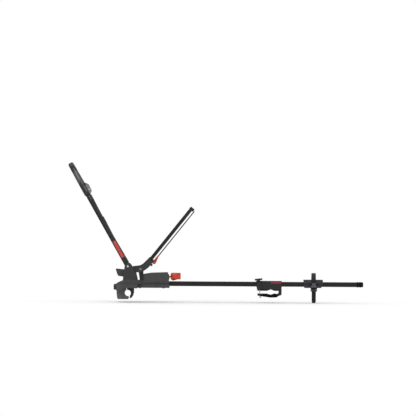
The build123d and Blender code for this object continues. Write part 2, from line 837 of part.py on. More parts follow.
# Lead screw with its thrust collar, its bush in the box end, and the red knob
with BuildPart() as lead_screw:
    shaft(screw_front, knob_start + knob_len / 2, 0, adjust_z, screw_r)
    shaft(box_end - bush_len - collar_t, box_end - bush_len - run, 0, adjust_z, collar_r)
finish(lead_screw, "lead_screw")
with BuildPart() as screw_bush:
    shaft(box_end - bush_len, box_end, 0, adjust_z, bush_r_out)
    shaft(box_start, box_end + overrun, 0, adjust_z, screw_r + shaft_gap, Mode.SUBTRACT)
finish(screw_bush, "screw_bush")
with BuildPart() as adjust_knob:
    with BuildSketch(Plane.XZ) as knob_profile:
        Polygon(
            (knob_start, adjust_z),
            (knob_start, adjust_z + knob_core_r * 0.55),
            (knob_start + knob_len * 0.2, adjust_z + knob_core_r),
            (knob_start + knob_len * 0.3, adjust_z + knob_core_r),
            (knob_start + knob_len * 0.97, adjust_z + knob_tip_r),
            (knob_start + knob_len * 0.97, adjust_z),
            align=None,
        )
    revolve(axis=Axis((0, 0, adjust_z), (1, 0, 0)))
    for lobe in range(knob_lobes):
        lobe_turn = lobe * 360 / knob_lobes
        lobe_plane = Plane(
            origin=(knob_start, 0, adjust_z),
            x_dir=(0, sin(radians(lobe_turn)), cos(radians(lobe_turn))),
            z_dir=(1, 0, 0),
        )
        with BuildSketch(lobe_plane) as lobe_form:
            with Locations((knob_r - knob_lobe_t / 2, 0)):
                Circle(knob_lobe_t / 2)
            with Locations(((knob_r - knob_lobe_t / 2) / 2, 0)):
                Rectangle(knob_r - knob_lobe_t / 2, knob_lobe_t)
        extrude(lobe_form.sketch, amount=knob_len)
    # Rounded ends all round
    with BuildSketch(Plane.XZ) as knob_outline:
        Polygon(
            (knob_start, adjust_z),
            (knob_start, adjust_z + knob_r * 0.72),
            (knob_start + knob_len * 0.09, adjust_z + knob_r),
            (knob_start + knob_len * 0.93, adjust_z + knob_r),
            (knob_start + knob_len, adjust_z + knob_r * 0.86),
            (knob_start + knob_len, adjust_z),
            align=None,
        )
    revolve(knob_outline.sketch, axis=Axis((0, 0, adjust_z), (1, 0, 0)), mode=Mode.INTERSECT)
    shaft(knob_start - overrun, knob_start + knob_len / 2, 0, adjust_z, screw_r, Mode.SUBTRACT)
finish(adjust_knob, "adjust_knob")

# Rear hoop brackets that hang on the carriage arms and hold the hoop's bar
bracket_shares = [
    (-0.19, 0.515), (-0.05, 0.38), (0.137, 0.195), (0.338, 0.104), (0.983, 0.031), (1.0, -0.165),
    (0.96, -0.36), (0.38, -0.337), (-0.013, -0.225), (-0.163, -0.131), (-0.49, 0.278),
]
rear_side = leaned(pivot_x, pivot_z, rear_tilt)
bracket_points = [(u * bracket_reach, v * bracket_reach) for u, v in bracket_shares]
with BuildPart() as bracket_left:
    with BuildSketch(rear_side.offset(bracket_y)):
        Polygon(*bracket_points, align=None)
        with Locations((crank_at, -crank_drop)):
            Circle(bracket_nose_r)
        with Locations((crank_at * 0.72, -crank_drop * 0.93)):
            Circle(bracket_nose_r)
    extrude(amount=bracket_t)
    outer = bracket_left.faces().sort_by(Axis.Y)[0]
    fillet(outer.edges().filter_by(GeomType.LINE).sort_by(SortBy.LENGTH)[-1], bracket_t * 0.15)
    # Socket of the bar, the stud hole and the crank bolt hole
    with BuildSketch(rear_side.offset(bracket_y - overrun)) as bar_room:
        with Locations((bracket_reach + rear_bar_from / 2, -rear_bar_drop)):
            Rectangle(2 * (bracket_reach - rear_bar_from) + rear_bar_from, rear_bar_d + 2 * seat)
    extrude(bar_room.sketch, amount=bracket_t + 2 * overrun, mode=Mode.SUBTRACT)
    post(pivot_x, pivot_z, stud_r + shaft_gap, -bracket_out - overrun, -bracket_y + overrun, Mode.SUBTRACT)
    with BuildSketch(rear_side.offset(bracket_y - overrun)) as crank_hole:
        with Locations((crank_at, -crank_drop)):
            Circle(crank_pin_r)
    extrude(crank_hole.sketch, amount=bracket_t + 2 * overrun, mode=Mode.SUBTRACT)
finish(bracket_left, "bracket_left")
with BuildPart() as bracket_right:
    add(mirror(bracket_left.part, about=Plane.XZ, mode=Mode.PRIVATE))
finish(bracket_right, "bracket_right")

# Rear hoop bar: one flat tube bent into a hoop
rear_flat = hoop_plane(pivot_x, pivot_z, rear_tilt).offset(-rear_bar_drop)
with BuildLine(rear_flat) as rear_path:
    FilletPolyline(
        (rear_bar_from, -bracket_mid),
        (rear_bar_neck, -bracket_mid),
        (rear_bar_top, -rear_top_half),
        (rear_bar_top, rear_top_half),
        (rear_bar_neck, bracket_mid),
        (rear_bar_from, bracket_mid),
        radius=rear_bend,
    )
with BuildPart() as rear_hoop_bar:
    with BuildSketch(section_plane(rear_path.line)):
        RectangleRounded(bracket_t, rear_bar_d, rear_corner)
    sweep(path=rear_path.line)
finish(rear_hoop_bar, "rear_hoop_bar")

# Tip block clipped round the middle of the hoop's top bar
tip_drop = tip_depth / 2 - rear_bar_d / 2 - tip_half * 0.04
with BuildPart() as rear_tip_block:
    with BuildSketch(rear_side.offset(-tip_half)):
        with Locations((rear_bar_top + bracket_t / 4, -rear_bar_drop - tip_drop)):
            RectangleRounded(tip_len, tip_depth, rear_corner)
    extrude(amount=2 * tip_half)
    fillet(rear_tip_block.faces().sort_by(Axis.Y)[0].edges(), rear_corner * 0.3)
    fillet(rear_tip_block.faces().sort_by(Axis.Y)[-1].edges(), rear_corner * 0.3)
    add(rear_hoop_bar.part, mode=Mode.SUBTRACT)
finish(rear_tip_block, "rear_tip_block")

# Bolts that the bail cranks turn on
crank_y = bracket_y - crank_gap
crank_in = channel_half + crank_gap
with BuildPart() as crank_bolts:
    with BuildSketch(rear_side.offset(crank_in)):
        with Locations((crank_at, -crank_drop)):
            Circle(crank_pin_r)
    extrude(amount=bracket_out - crank_in)
    with BuildSketch(rear_side.offset(bracket_out)):
        with Locations((crank_at, -crank_drop)):
            Circle(crank_pin_r * 1.4)
    extrude(amount=stud_head_t)
    mirror(about=Plane.XZ)
finish(crank_bolts, "crank_bolts")

# Wire bail under the hoop bar, held by a red crank at each foot
bail_y = crank_in + (crank_y - crank_in) / 2 + crank_gap
bail_flat = hoop_plane(pivot_x, pivot_z, rear_tilt).offset(-bail_drop)
with BuildLine(bail_flat) as bail_path:
    FilletPolyline(
        (bail_from, -bail_y),
        (bail_neck, -bail_y),
        (bail_top, -bail_top_half),
        (bail_top, bail_top_half),
        (bail_neck, bail_y),
        (bail_from, bail_y),
        radius=bail_bend,
    )
with BuildPart() as wire_bail:
    with BuildSketch(section_plane(bail_path.line)):
        Circle(bail_r)
    sweep(path=bail_path.line)
finish(wire_bail, "wire_bail")
with BuildPart() as crank_left:
    with BuildSketch(rear_side.offset(crank_in)) as crank_form:
        with Locations((crank_at, -crank_drop)):
            Circle(crank_ring_r)
        with Locations((bail_from - bail_r, -bail_drop)):
            Circle(crank_arm_w / 2)
        make_hull()
    extrude(crank_form.sketch, amount=crank_y - crank_in)
    # Thumb tab on the hoop side
    with BuildSketch(rear_side.offset(crank_in)) as tab_form:
        with Locations((crank_at, -crank_drop)):
            Circle(crank_ring_r * 0.7)
        with Locations((crank_at + crank_ring_r * 0.6, -crank_drop + crank_ring_r * 1.3)):
            Circle(crank_pin_r)
        make_hull()
    extrude(tab_form.sketch, amount=crank_y - crank_in)
    # Sleeve round the bail's foot
    sleeve = square_to(pivot_x, pivot_z, rear_tilt, bail_from - bail_socket / 2, -bail_drop, -bail_y)
    with BuildSketch(sleeve) as sleeve_form:
        Circle(bail_r + seat * 9)
    extrude(sleeve_form.sketch, amount=bail_socket)
    add(wire_bail.part, mode=Mode.SUBTRACT)
    with BuildSketch(rear_side.offset(crank_in - overrun)) as crank_hole:
        with Locations((crank_at, -crank_drop)):
            Circle(crank_pin_r + shaft_gap)
    extrude(crank_hole.sketch, amount=crank_y - crank_in + 2 * overrun, mode=Mode.SUBTRACT)
finish(crank_left, "crank_left")
with BuildPart() as crank_right:
    add(mirror(crank_left.part, about=Plane.XZ, mode=Mode.PRIVATE))
finish(crank_right, "crank_right")

# Front hoop bar: a flat bar bent into a tall hoop, with an eye at each foot
front_side = leaned(hoop_x, hoop_z, hoop_tilt)
front_flat = hoop_plane(hoop_x, hoop_z, hoop_tilt)
hoop_radii = (hoop_bend, hoop_bend, hoop_top_half * 0.92, hoop_top_half * 0.92, hoop_bend, hoop_bend)


def hoop_route(start):
    """Corner points of the front hoop, from a place up its near leg round to the far one."""
    near = [
        (start, -leg_mid),
        (hoop_straight, -leg_mid),
        (hoop_slant_end, -hoop_top_half),
        (hoop_top, -hoop_top_half),
    ]
    return near + [(up, -across) for up, across in reversed(near)]


with BuildLine(front_flat.offset(hoop_bar_shift)) as hoop_path:
    FilletPolyline(*hoop_route(0), radius=hoop_radii)
with BuildPart() as front_hoop_bar:
    with BuildSketch(section_plane(hoop_path.line)):
        RectangleRounded(hoop_bar_t, hoop_bar_d, hoop_bar_t * 0.3)
    sweep(path=hoop_path.line)
    for side in (-1, 1):
        eye_span = sorted((side * leg_y, side * leg_out))
        post(hoop_x, hoop_z, hoop_eye_r, eye_span[0], eye_span[1])
        post(hoop_x, hoop_z, bush_r, eye_span[0] - overrun, eye_span[1] + overrun, Mode.SUBTRACT)
finish(front_hoop_bar, "front_hoop_bar")
with BuildPart() as hoop_bushes:
    post(hoop_x, hoop_z, bush_r, -leg_out, -leg_y + shaft_gap)
    post(hoop_x, hoop_z, rivet_r + shaft_gap, -leg_out - overrun, -leg_y + overrun, Mode.SUBTRACT)
    mirror(about=Plane.XZ)
finish(hoop_bushes, "hoop_bushes")

# Covers clipped over the back of each leg, one pair for each stretch
cover_starts = (leg_cover_from,) + tuple(end + leg_cover_gap for end in leg_cover_ends[:-1])
cover_names = ("lower", "middle", "upper")
hoop_back = Axis((0, 0, 0), (sin(radians(hoop_tilt)), 0, -cos(radians(hoop_tilt))))
for cover_name, low_end, high_end in zip(cover_names, cover_starts, leg_cover_ends):
    lowest = cover_name == "lower"
    back_low = -leg_d / 2 + (0 if lowest else leg_bulge)
    back_high = -leg_d / 2 + (leg_bulge if lowest else 0)
    front_edge = leg_cover_front + (panel_w * 0.433 if lowest else 0)
    with BuildPart() as leg_cover:
        with BuildSketch(front_side.offset(leg_y)):
            Polygon(
                (low_end, front_edge),
                (low_end, back_low),
                (high_end, back_high),
                (high_end, front_edge),
                align=None,
            )
        extrude(amount=leg_t)
        long_edges = leg_cover.edges().filter_by(lambda e: e.length > 2 * leg_t)
        back_edges = long_edges.sort_by(hoop_back)[-2:]
        fillet(back_edges, leg_t * 0.2)
        with BuildSketch(front_side.offset(leg_mid - hoop_bar_t / 2 - seat)) as bar_slot:
            with Locations(((low_end + high_end) / 2, hoop_bar_shift)):
                Rectangle(2 * (high_end - low_end), hoop_bar_d + 2 * seat)
        extrude(bar_slot.sketch, amount=hoop_bar_t + 2 * seat, mode=Mode.SUBTRACT)
        post(hoop_x, hoop_z, hoop_eye_r + run, -leg_out - overrun, -leg_y + overrun, Mode.SUBTRACT)
        # Shallow groove across the outer face near the top
        with BuildSketch(front_side.offset(leg_out - leg_cover_gap)) as groove:
            with Locations((leg_groove_at, 0)):
                Rectangle(leg_cover_gap, 2 * leg_d)
        extrude(groove.sketch, amount=leg_t, mode=Mode.SUBTRACT)
        mirror(about=Plane.XZ)
    finish(leg_cover, "leg_covers_" + cover_name)

# Bare red panels on the outer faces of the lower leg covers
with BuildPart() as red_panels:
    with BuildSketch(front_side.offset(leg_out)):
        with Locations(((panel_from + panel_to) / 2, leg_cover_front - panel_w * 0.46)):
            RectangleRounded(panel_to - panel_from, panel_w, panel_w * 0.15)
    extrude(amount=panel_t)
    mirror(about=Plane.XZ)
finish(red_panels, "red_panels")

# Moulded covers round the hoop's narrow top, in a front and a back half
with BuildLine(front_flat.offset(cover_shift)) as cover_path:
    FilletPolyline(*hoop_route(cover_from), radius=hoop_radii)
with BuildPart() as top_cover:
    with BuildSketch(section_plane(cover_path.line)):
        RectangleRounded(cover_t, cover_d, cover_corner)
        with Locations((0, hoop_bar_shift - cover_shift)):
            Rectangle(hoop_bar_t + 2 * seat, hoop_bar_d + 2 * seat, mode=Mode.SUBTRACT)
    sweep(path=cover_path.line)
with BuildPart() as top_cover_front:
    add(top_cover.part)
    split(bisect_by=front_flat.offset(cover_split), keep=Keep.TOP)
finish(top_cover_front, "top_cover_front")
cover_back = cover_shift - cover_d / 2
lever_pin_out = cover_back - lever_ear_r
lever_half = lever_t / 2
with BuildPart() as top_cover_back:
    add(top_cover.part)
    split(bisect_by=front_flat.offset(cover_split), keep=Keep.BOTTOM)
    # Ears of the lock lever on the near leg
    for ear_y in (leg_mid - cover_t / 2 + run / 2, leg_mid + lever_half + run / 2):
        with BuildSketch(front_side.offset(ear_y)) as ear:
            with Locations((lever_pin_at, lever_pin_out)):
                Circle(lever_ear_r)
            Polygon(
                (lever_pin_at - 1.6 * lever_ear_r, cover_back + 1.4 * cover_corner),
                (lever_pin_at + 1.8 * lever_ear_r, cover_back + 1.4 * cover_corner),
                (lever_pin_at, lever_pin_out),
                align=None,
            )
            make_hull()
        extrude(ear.sketch, amount=cover_t / 2 - lever_half - run)
    with BuildSketch(front_side.offset(leg_mid - cover_t)) as pin_hole:
        with Locations((lever_pin_at, lever_pin_out)):
            Circle(lever_pin_r)
    extrude(pin_hole.sketch, amount=2 * cover_t, mode=Mode.SUBTRACT)
finish(top_cover_back, "top_cover_back")
with BuildPart() as lever_pin:
    with BuildSketch(front_side.offset(leg_mid - cover_t / 2)):
        with Locations((lever_pin_at, lever_pin_out)):
            Circle(lever_pin_r)
    extrude(amount=cover_t)
finish(lever_pin, "lever_pin")

# Rubber pad that grips the tyre in the hoop's narrow top
slant_run = hoop_slant_end - hoop_straight
slant_fall = leg_mid - hoop_top_half
slant = sqrt(slant_run**2 + slant_fall**2)


def slant_inner(up, inset):
    """Half width of the hoop's opening at a place on its slant, less an inset."""
    fall = slant_fall / slant_run * (up - hoop_straight)
    return leg_mid - fall - (cover_t / 2 + inset) * slant / slant_run


neck_half = hoop_top_half - cover_t / 2 - seat
neck_end = hoop_top - cover_t / 2 - seat - neck_half
pad_outer = [
    (pad_from, slant_inner(pad_from, seat)),
    (hoop_slant_end - hoop_bend * 0.3, slant_inner(hoop_slant_end - hoop_bend * 0.3, seat)),
    (hoop_slant_end + hoop_bend * 0.3, neck_half),
    (neck_end, neck_half),
]
pad_inner = [
    (pad_groove_end, pad_t),
    (pad_from, slant_inner(pad_from, pad_t)),
]
with BuildPart() as tyre_pad:
    with BuildSketch(front_flat.offset(cover_shift - pad_depth / 2)) as pad_form:
        Polygon(*pad_outer, *[(up, -across) for up, across in reversed(pad_outer)], align=None)
        with Locations((neck_end, 0)):
            Circle(neck_half)
        Polygon(
            pad_inner[1],
            pad_inner[0],
            (pad_inner[0][0], -pad_inner[0][1]),
            (pad_inner[1][0], -pad_inner[1][1]),
            align=None,
            mode=Mode.SUBTRACT,
        )
    extrude(pad_form.sketch, amount=pad_depth)
    add(top_cover.part, mode=Mode.SUBTRACT)
finish(tyre_pad, "tyre_pad")

# Lock lever on the back of the near leg, with its turning core
lever_shares = [(0.86, 0.93), (0.73, 1), (0.2, 0.93), (0.07, 0.78), (0, 0.38), (0, 0.03), (0.72, 0.03)]
lever_span = (lever_to - lever_from) * 0.86
lever_points = scaled(lever_shares, lever_from, cover_back, lever_span, -lever_h)
with BuildPart() as lock_lever:
    with BuildSketch(front_side.offset(leg_mid - lever_half)):
        with Locations((lever_pin_at, lever_pin_out)):
            Circle(lever_ear_r - run)
        Polygon(*lever_points, align=None)
        make_hull()
    extrude(amount=lever_t)
    fillet(lock_lever.faces().sort_by(Axis.Y)[0].edges(), lever_t * 0.15)
    with BuildSketch(front_side.offset(leg_mid - cover_t)) as pin_bore:
        with Locations((lever_pin_at, lever_pin_out)):
            Circle(lever_pin_r + shaft_gap)
    extrude(pin_bore.sketch, amount=2 * cover_t, mode=Mode.SUBTRACT)
    with BuildSketch(front_side.offset(leg_mid + lever_half - core_t)) as core_bore:
        with Locations((core_at, cover_back - lever_h * 0.48)):
            Circle(core_r + shaft_gap)
    extrude(core_bore.sketch, amount=core_t + overrun, mode=Mode.SUBTRACT)
finish(lock_lever, "lock_lever")
with BuildPart() as lock_core:
    with BuildSketch(front_side.offset(leg_mid + lever_half - core_t + shaft_gap)):
        with Locations((core_at, cover_back - lever_h * 0.48)):
            Circle(core_r)
    extrude(amount=core_t + run)
    with BuildSketch(front_side.offset(leg_mid + lever_half - core_t * 0.4)) as key_way:
        with Locations((core_at, cover_back - lever_h * 0.48)):
            Rectangle(core_r, core_r * 0.22)
    extrude(key_way.sketch, amount=core_t, mode=Mode.SUBTRACT)
finish(lock_core, "lock_core")

# Middle crossbar clamp: a body round the rail with a hinge post at its back
mid_shares = [(-0.044, 0.70), (-0.01, 1), (1, 1), (1, 0), (0.883, 0)]
bolt_plane = Plane(
    origin=(bolt_x, -bolt_y, bolt_z),
    x_dir=(cos(radians(bolt_lean)), 0, sin(radians(bolt_lean))),
    z_dir=(-sin(radians(bolt_lean)), 0, cos(radians(bolt_lean))),
)


def on_bolt(r, high, low, mode=Mode.ADD):
    """A round on the draw bolt's leaning line, between two distances under the knob's centre."""
    with BuildSketch(bolt_plane.offset(-low)) as round_form:
        Circle(r)
    extrude(round_form.sketch, amount=low - high, mode=mode)


post_x = mid_x + mid_len * 0.883
bolt_reach = bolt_z - jaw_top + jaw_t
mid_points = scaled(mid_shares, mid_x, 0, mid_len, mid_top)
mid_points += [
    (post_x, mid_bottom),
    (mid_notch_x + 2.5 * mid_notch, mid_bottom),
    (mid_notch_x, mid_bottom + mid_notch_rise),
    (mid_notch_x - 2.5 * mid_notch, mid_bottom),
    (mid_x + mid_len * 0.036, mid_bottom),
]
with BuildPart() as mid_body:
    slab(mid_points, -mid_half, mid_half)
    fillet(mid_body.edges().filter_by(Axis.X).group_by(Axis.Z)[-1], shell_wall)
    post(mid_hinge_x, 0, mid_lobe_r, -mid_half, mid_half)
    block(
        bolt_x - lug_half, bolt_x + 1.6 * lug_half, -bolt_y - lug_half, -mid_half + shell_wall,
        mid_bottom, mid_top - shell_wall,
    )
    on_bolt(mid_knob_hub_r, mid_knob_t * 0.72, bolt_z - mid_top + 2 * shell_wall)
    # Channel of the rail, the bolt's hole and the room of the jaw's lobe
    with BuildSketch(Plane.YZ.offset(mid_x - 2 * overrun)) as rail_room:
        with Locations((0, rail_z)):
            RectangleRounded(rail_w + run, rail_h + run, rail_corner)
    extrude(rail_room.sketch, amount=mid_len + 4 * overrun, mode=Mode.SUBTRACT)
    on_bolt(bolt_r + run, -overrun, bolt_reach, Mode.SUBTRACT)
    block(
        post_x - overrun, mid_end + overrun, -mid_lobe_half - run, mid_lobe_half + run,
        -2 * mid_lobe_r, mid_lobe_r + run, Mode.SUBTRACT,
    )
    post(mid_hinge_x, 0, mid_hinge_r, -mid_half - overrun, mid_half + overrun, Mode.SUBTRACT)
finish(mid_body, "mid_body")

# Rubber pads of the middle clamp, each with a notch for the bar
notch_x = mid_notch_x - mid_x
pad_front = mid_x + mid_len * 0.036
with BuildPart() as mid_pad:
    slab(
        [
            (pad_front, mid_bottom),
            (pad_front, mid_bottom - mid_pad_t),
            (mid_notch_x - 2.5 * mid_notch, mid_bottom - mid_pad_t),
            (mid_notch_x, mid_bottom + mid_notch_rise - mid_pad_t * 0.2),
            (mid_notch_x + 2.5 * mid_notch, mid_bottom - mid_pad_t),
            (post_x - seat, mid_bottom - mid_pad_t),
            (post_x - seat, mid_bottom),
            (mid_notch_x + 2.5 * mid_notch, mid_bottom),
            (mid_notch_x, mid_bottom + mid_notch_rise),
            (mid_notch_x - 2.5 * mid_notch, mid_bottom),
        ],
        shell_wall - mid_half, mid_half - shell_wall,
    )
    on_bolt(bolt_r + 2 * run, 0, bolt_reach, Mode.SUBTRACT)
finish(mid_pad, "mid_pad")
jaw_end = post_x - overrun
jaw_notch_points = [
    (mid_notch_x + 2.5 * mid_notch, jaw_top),
    (mid_notch_x, jaw_top - jaw_notch_sink),
    (mid_notch_x - 2.5 * mid_notch, jaw_top),
]
with BuildPart() as jaw_pad:
    slab(
        [
            (pad_front, jaw_top),
            (pad_front, jaw_top + jaw_pad_t),
            (mid_notch_x - 2.5 * mid_notch, jaw_top + jaw_pad_t),
            (mid_notch_x, jaw_top - jaw_notch_sink + jaw_pad_t * 0.3),
            (mid_notch_x + 2.5 * mid_notch, jaw_top + jaw_pad_t),
            (jaw_end - mid_lobe_r, jaw_top + jaw_pad_t),
            (jaw_end - mid_lobe_r, jaw_top),
        ]
        + jaw_notch_points,
        shell_wall - mid_half, mid_half - shell_wall,
    )
    block(
        mid_x - overrun, bolt_x + 2.2 * lug_half, -mid_half, -bolt_y + 2 * lug_half * 0.7,
        jaw_top - overrun, mid_bottom, Mode.SUBTRACT,
    )
finish(jaw_pad, "jaw_pad")

# Jaw: a bowed bar with a lobe at its hinge and a fork for the draw bolt
jaw_shares = [(0.04, 0), (0.04, 0.5), (0.24, 0.8), (0.56, 1.2), (0.78, 1.13), (0.845, 0.85), (0.845, 0)]
fork_low = jaw_top - jaw_t * 0.55
with BuildPart() as mid_jaw:
    slab(scaled(jaw_shares, mid_x, jaw_top, mid_len, -jaw_t) + jaw_notch_points, -mid_half, mid_half)
    with BuildSketch(side_plane(mid_lobe_half)) as lobe_form:
        with Locations((mid_hinge_x, 0)):
            Circle(mid_lobe_r - run)
        with Locations((jaw_end - mid_lobe_r, jaw_top - mid_lobe_r)):
            Circle(mid_lobe_r * 0.8)
        make_hull()
    extrude(lobe_form.sketch, amount=2 * mid_lobe_half)
    block(
        pad_front, bolt_x + 2.2 * lug_half, -bolt_y - lug_half, -bolt_y + lug_half,
        fork_low, jaw_top,
    )
    block(
        mid_x - overrun, bolt_x + 2.2 * lug_half, -bolt_y - lug_half - overrun, -bolt_y + lug_half,
        jaw_top - 3 * jaw_t, fork_low, Mode.SUBTRACT,
    )
    slot_x = bolt_x + (bolt_z - fork_low) * tan(radians(bolt_lean)) + bolt_r + 4 * run
    block(
        mid_x - overrun, slot_x, -bolt_y - bolt_r - run, -bolt_y + bolt_r + run,
        fork_low - overrun, jaw_top + overrun, Mode.SUBTRACT,
    )
    post(mid_hinge_x, 0, mid_hinge_r + shaft_gap, -mid_half, mid_half, Mode.SUBTRACT)
finish(mid_jaw, "mid_jaw")
with BuildPart() as jaw_hinge_pin:
    post(mid_hinge_x, 0, mid_hinge_r, -mid_half, mid_half)
finish(jaw_hinge_pin, "jaw_hinge_pin")

# Draw bolt with its cross barrel under the fork, and the notched knob on top
barrel_low = (bolt_z - fork_low + barrel_r + run) / cos(radians(bolt_lean))
with BuildPart() as mid_bolt:
    on_bolt(bolt_r, mid_knob_t / 2, barrel_low)
    barrel_x = bolt_x + barrel_low * sin(radians(bolt_lean))
    barrel_z = bolt_z - barrel_low * cos(radians(bolt_lean))
    post(barrel_x, barrel_z, barrel_r, -bolt_y - barrel_half, -bolt_y + barrel_half)
finish(mid_bolt, "mid_bolt")
with BuildPart() as mid_knob:
    on_bolt(mid_knob_r, -mid_knob_t / 2, mid_knob_t / 2)
    fillet(mid_knob.edges(), mid_knob_t * 0.25)
    on_bolt(mid_knob_hub_r, 0, mid_knob_t * 0.66)
    on_bolt(bolt_r + shaft_gap, 0, mid_knob_t, Mode.SUBTRACT)
    for notch in range(mid_knob_notches):
        notch_angle = radians(notch * 360 / mid_knob_notches)
        notch_reach = mid_knob_r * 1.06
        with BuildSketch(bolt_plane.offset(-mid_knob_t)) as notch_form:
            with Locations((notch_reach * cos(notch_angle), notch_reach * sin(notch_angle))):
                Circle(mid_knob_r * 0.16)
        extrude(notch_form.sketch, amount=2 * mid_knob_t, mode=Mode.SUBTRACT)
finish(mid_knob, "mid_knob")
with BuildPart() as mid_label:
    block(
        label_from, label_from + label_len, -mid_half - label_t, -mid_half,
        mid_top - shell_wall - label_h - run, mid_top - shell_wall - run,
    )
finish(mid_label, "mid_label")

# Wheel tray: a grooved saddle that slides on the rail
tray_top = rail_top + tray_floor + tray_rise
tray_waist = rail_w / 2 + tray_wall
strap_in = strap_half - strap_t / 2
frame_face = strap_in - run / 2 - buckle_back
strap_screw_z = strap_anchor_z + strap_w * 0.35
buckle_rivet_z = rail_low + base_step
with BuildPart() as wheel_tray:
    with BuildSketch(Plane.YZ.offset(tray_x)):
        Polygon(
            (-tray_half, tray_top),
            (tray_half, tray_top),
            (tray_half, rail_top - tray_wall),
            (tray_waist, rail_z),
            (tray_waist, rail_low - tray_skirt),
            (-tray_waist, rail_low - tray_skirt),
            (-tray_waist, rail_z),
            (-tray_half, rail_top - tray_wall),
            align=None,
        )
        Polygon(
            (-tray_half * 0.82, tray_top),
            (-tray_groove_half, rail_top + tray_floor),
            (tray_groove_half, rail_top + tray_floor),
            (tray_half * 0.82, tray_top),
            align=None,
            mode=Mode.SUBTRACT,
        )
        with Locations((0, rail_z)):
            RectangleRounded(rail_w + run, rail_h + run, rail_corner, mode=Mode.SUBTRACT)
    extrude(amount=tray_len)
    # The foot is shorter than the groove
    for foot_x in (tray_x - overrun, tray_x + tray_len * 0.93):
        block(
            foot_x, foot_x + overrun + tray_len * 0.04, -tray_half, tray_half,
            rail_low - tray_skirt - overrun, rail_low + tray_skirt, Mode.SUBTRACT,
        )
    # Lugs for the strap's far end and for the buckle
    for lug_in, lug_out in ((tray_waist * 0.9, strap_in), (-frame_face, -tray_waist * 0.9)):
        block(
            strap_x - strap_w / 2, strap_x + strap_w / 2, lug_in, lug_out,
            rail_low - 2 * base_step, rail_top + run,
        )
    post(strap_x, strap_screw_z, screw_small_r, strap_in - 2 * overrun, strap_in + overrun, Mode.SUBTRACT)
    post(strap_x, buckle_rivet_z, rivet_small_r, -frame_face - overrun, -tray_waist, Mode.SUBTRACT)
    with BuildSketch(Plane.YZ.offset(tray_x - overrun)) as bore_again:
        with Locations((0, rail_z)):
            RectangleRounded(rail_w + run, rail_h + run, rail_corner)
    extrude(bore_again.sketch, amount=tray_len + 2 * overrun, mode=Mode.SUBTRACT)
finish(wheel_tray, "wheel_tray")

# Toothed strap over the wheel, its tail hanging below the buckle
strap_bend_z = strap_crest - strap_t / 2 - strap_half
with BuildPart() as strap:
    with BuildSketch(Plane.YZ.offset(strap_x - strap_w / 2)):
        with Locations((0, strap_bend_z)):
            Circle(strap_half + strap_t / 2)
            Circle(strap_half - strap_t / 2, mode=Mode.SUBTRACT)
            with Locations((0, -strap_half)):
                Rectangle(4 * strap_half, 2 * strap_half, mode=Mode.SUBTRACT)
        with Locations((-strap_half, (strap_bend_z + strap_tail_z) / 2)):
            Rectangle(strap_t, strap_bend_z - strap_tail_z)
        with Locations((strap_half, (strap_bend_z + strap_anchor_z) / 2)):
            Rectangle(strap_t, strap_bend_z - strap_anchor_z)
    extrude(amount=strap_w)
    tail_corners = strap.edges().filter_by(Axis.Y).group_by(Axis.Z)[0]
    fillet(tail_corners, strap_w * 0.45)
    tooth_count = int((strap_bend_z - strap_tail_z - strap_w) / strap_tooth_pitch)
    for tooth in range(tooth_count):
        tooth_z = strap_tail_z + strap_w * 0.6 + tooth * strap_tooth_pitch
        block(
            strap_x - strap_w * 0.36, strap_x + strap_w * 0.36,
            -strap_half - strap_t / 2 - strap_tooth_t, -strap_half,
            tooth_z, tooth_z + strap_tooth_len,
        )
    post(strap_x, strap_screw_z, screw_small_r, strap_in - overrun, strap_half + overrun, Mode.SUBTRACT)
finish(strap, "strap")

# Ratchet buckle: frame, lever, release pawl, their pins and the pawl's spring
strap_back = strap_half + strap_t / 2 + strap_tooth_t
frame_out = frame_face + buckle_t
cheek_y = (strap_back + frame_out) / 2
with BuildPart() as buckle_frame:
    block(
        strap_x - buckle_w / 2, strap_x + buckle_w / 2, -frame_out, -frame_face,
        buckle_low, buckle_low + buckle_h,
    )
    fillet(buckle_frame.edges().filter_by(Axis.X).group_by(Axis.Y)[0], buckle_wall)
    block(
        strap_x - buckle_w / 2 + buckle_wall, strap_x + buckle_w / 2 - buckle_wall,
        -frame_out - overrun, -frame_face - buckle_back,
        buckle_low - overrun, buckle_low + buckle_h + overrun, Mode.SUBTRACT,
    )
    for pin_z in (buckle_pin_z, pawl_pin_z):
        with BuildSketch(Plane.YZ.offset(strap_x - buckle_w)) as pin_hole:
            with Locations((-cheek_y, pin_z)):
                Circle(small_pin_r)
        extrude(pin_hole.sketch, amount=2 * buckle_w, mode=Mode.SUBTRACT)
    post(strap_x, buckle_rivet_z, rivet_small_r, -frame_out, -frame_face + overrun, Mode.SUBTRACT)
finish(buckle_frame, "buckle_frame")

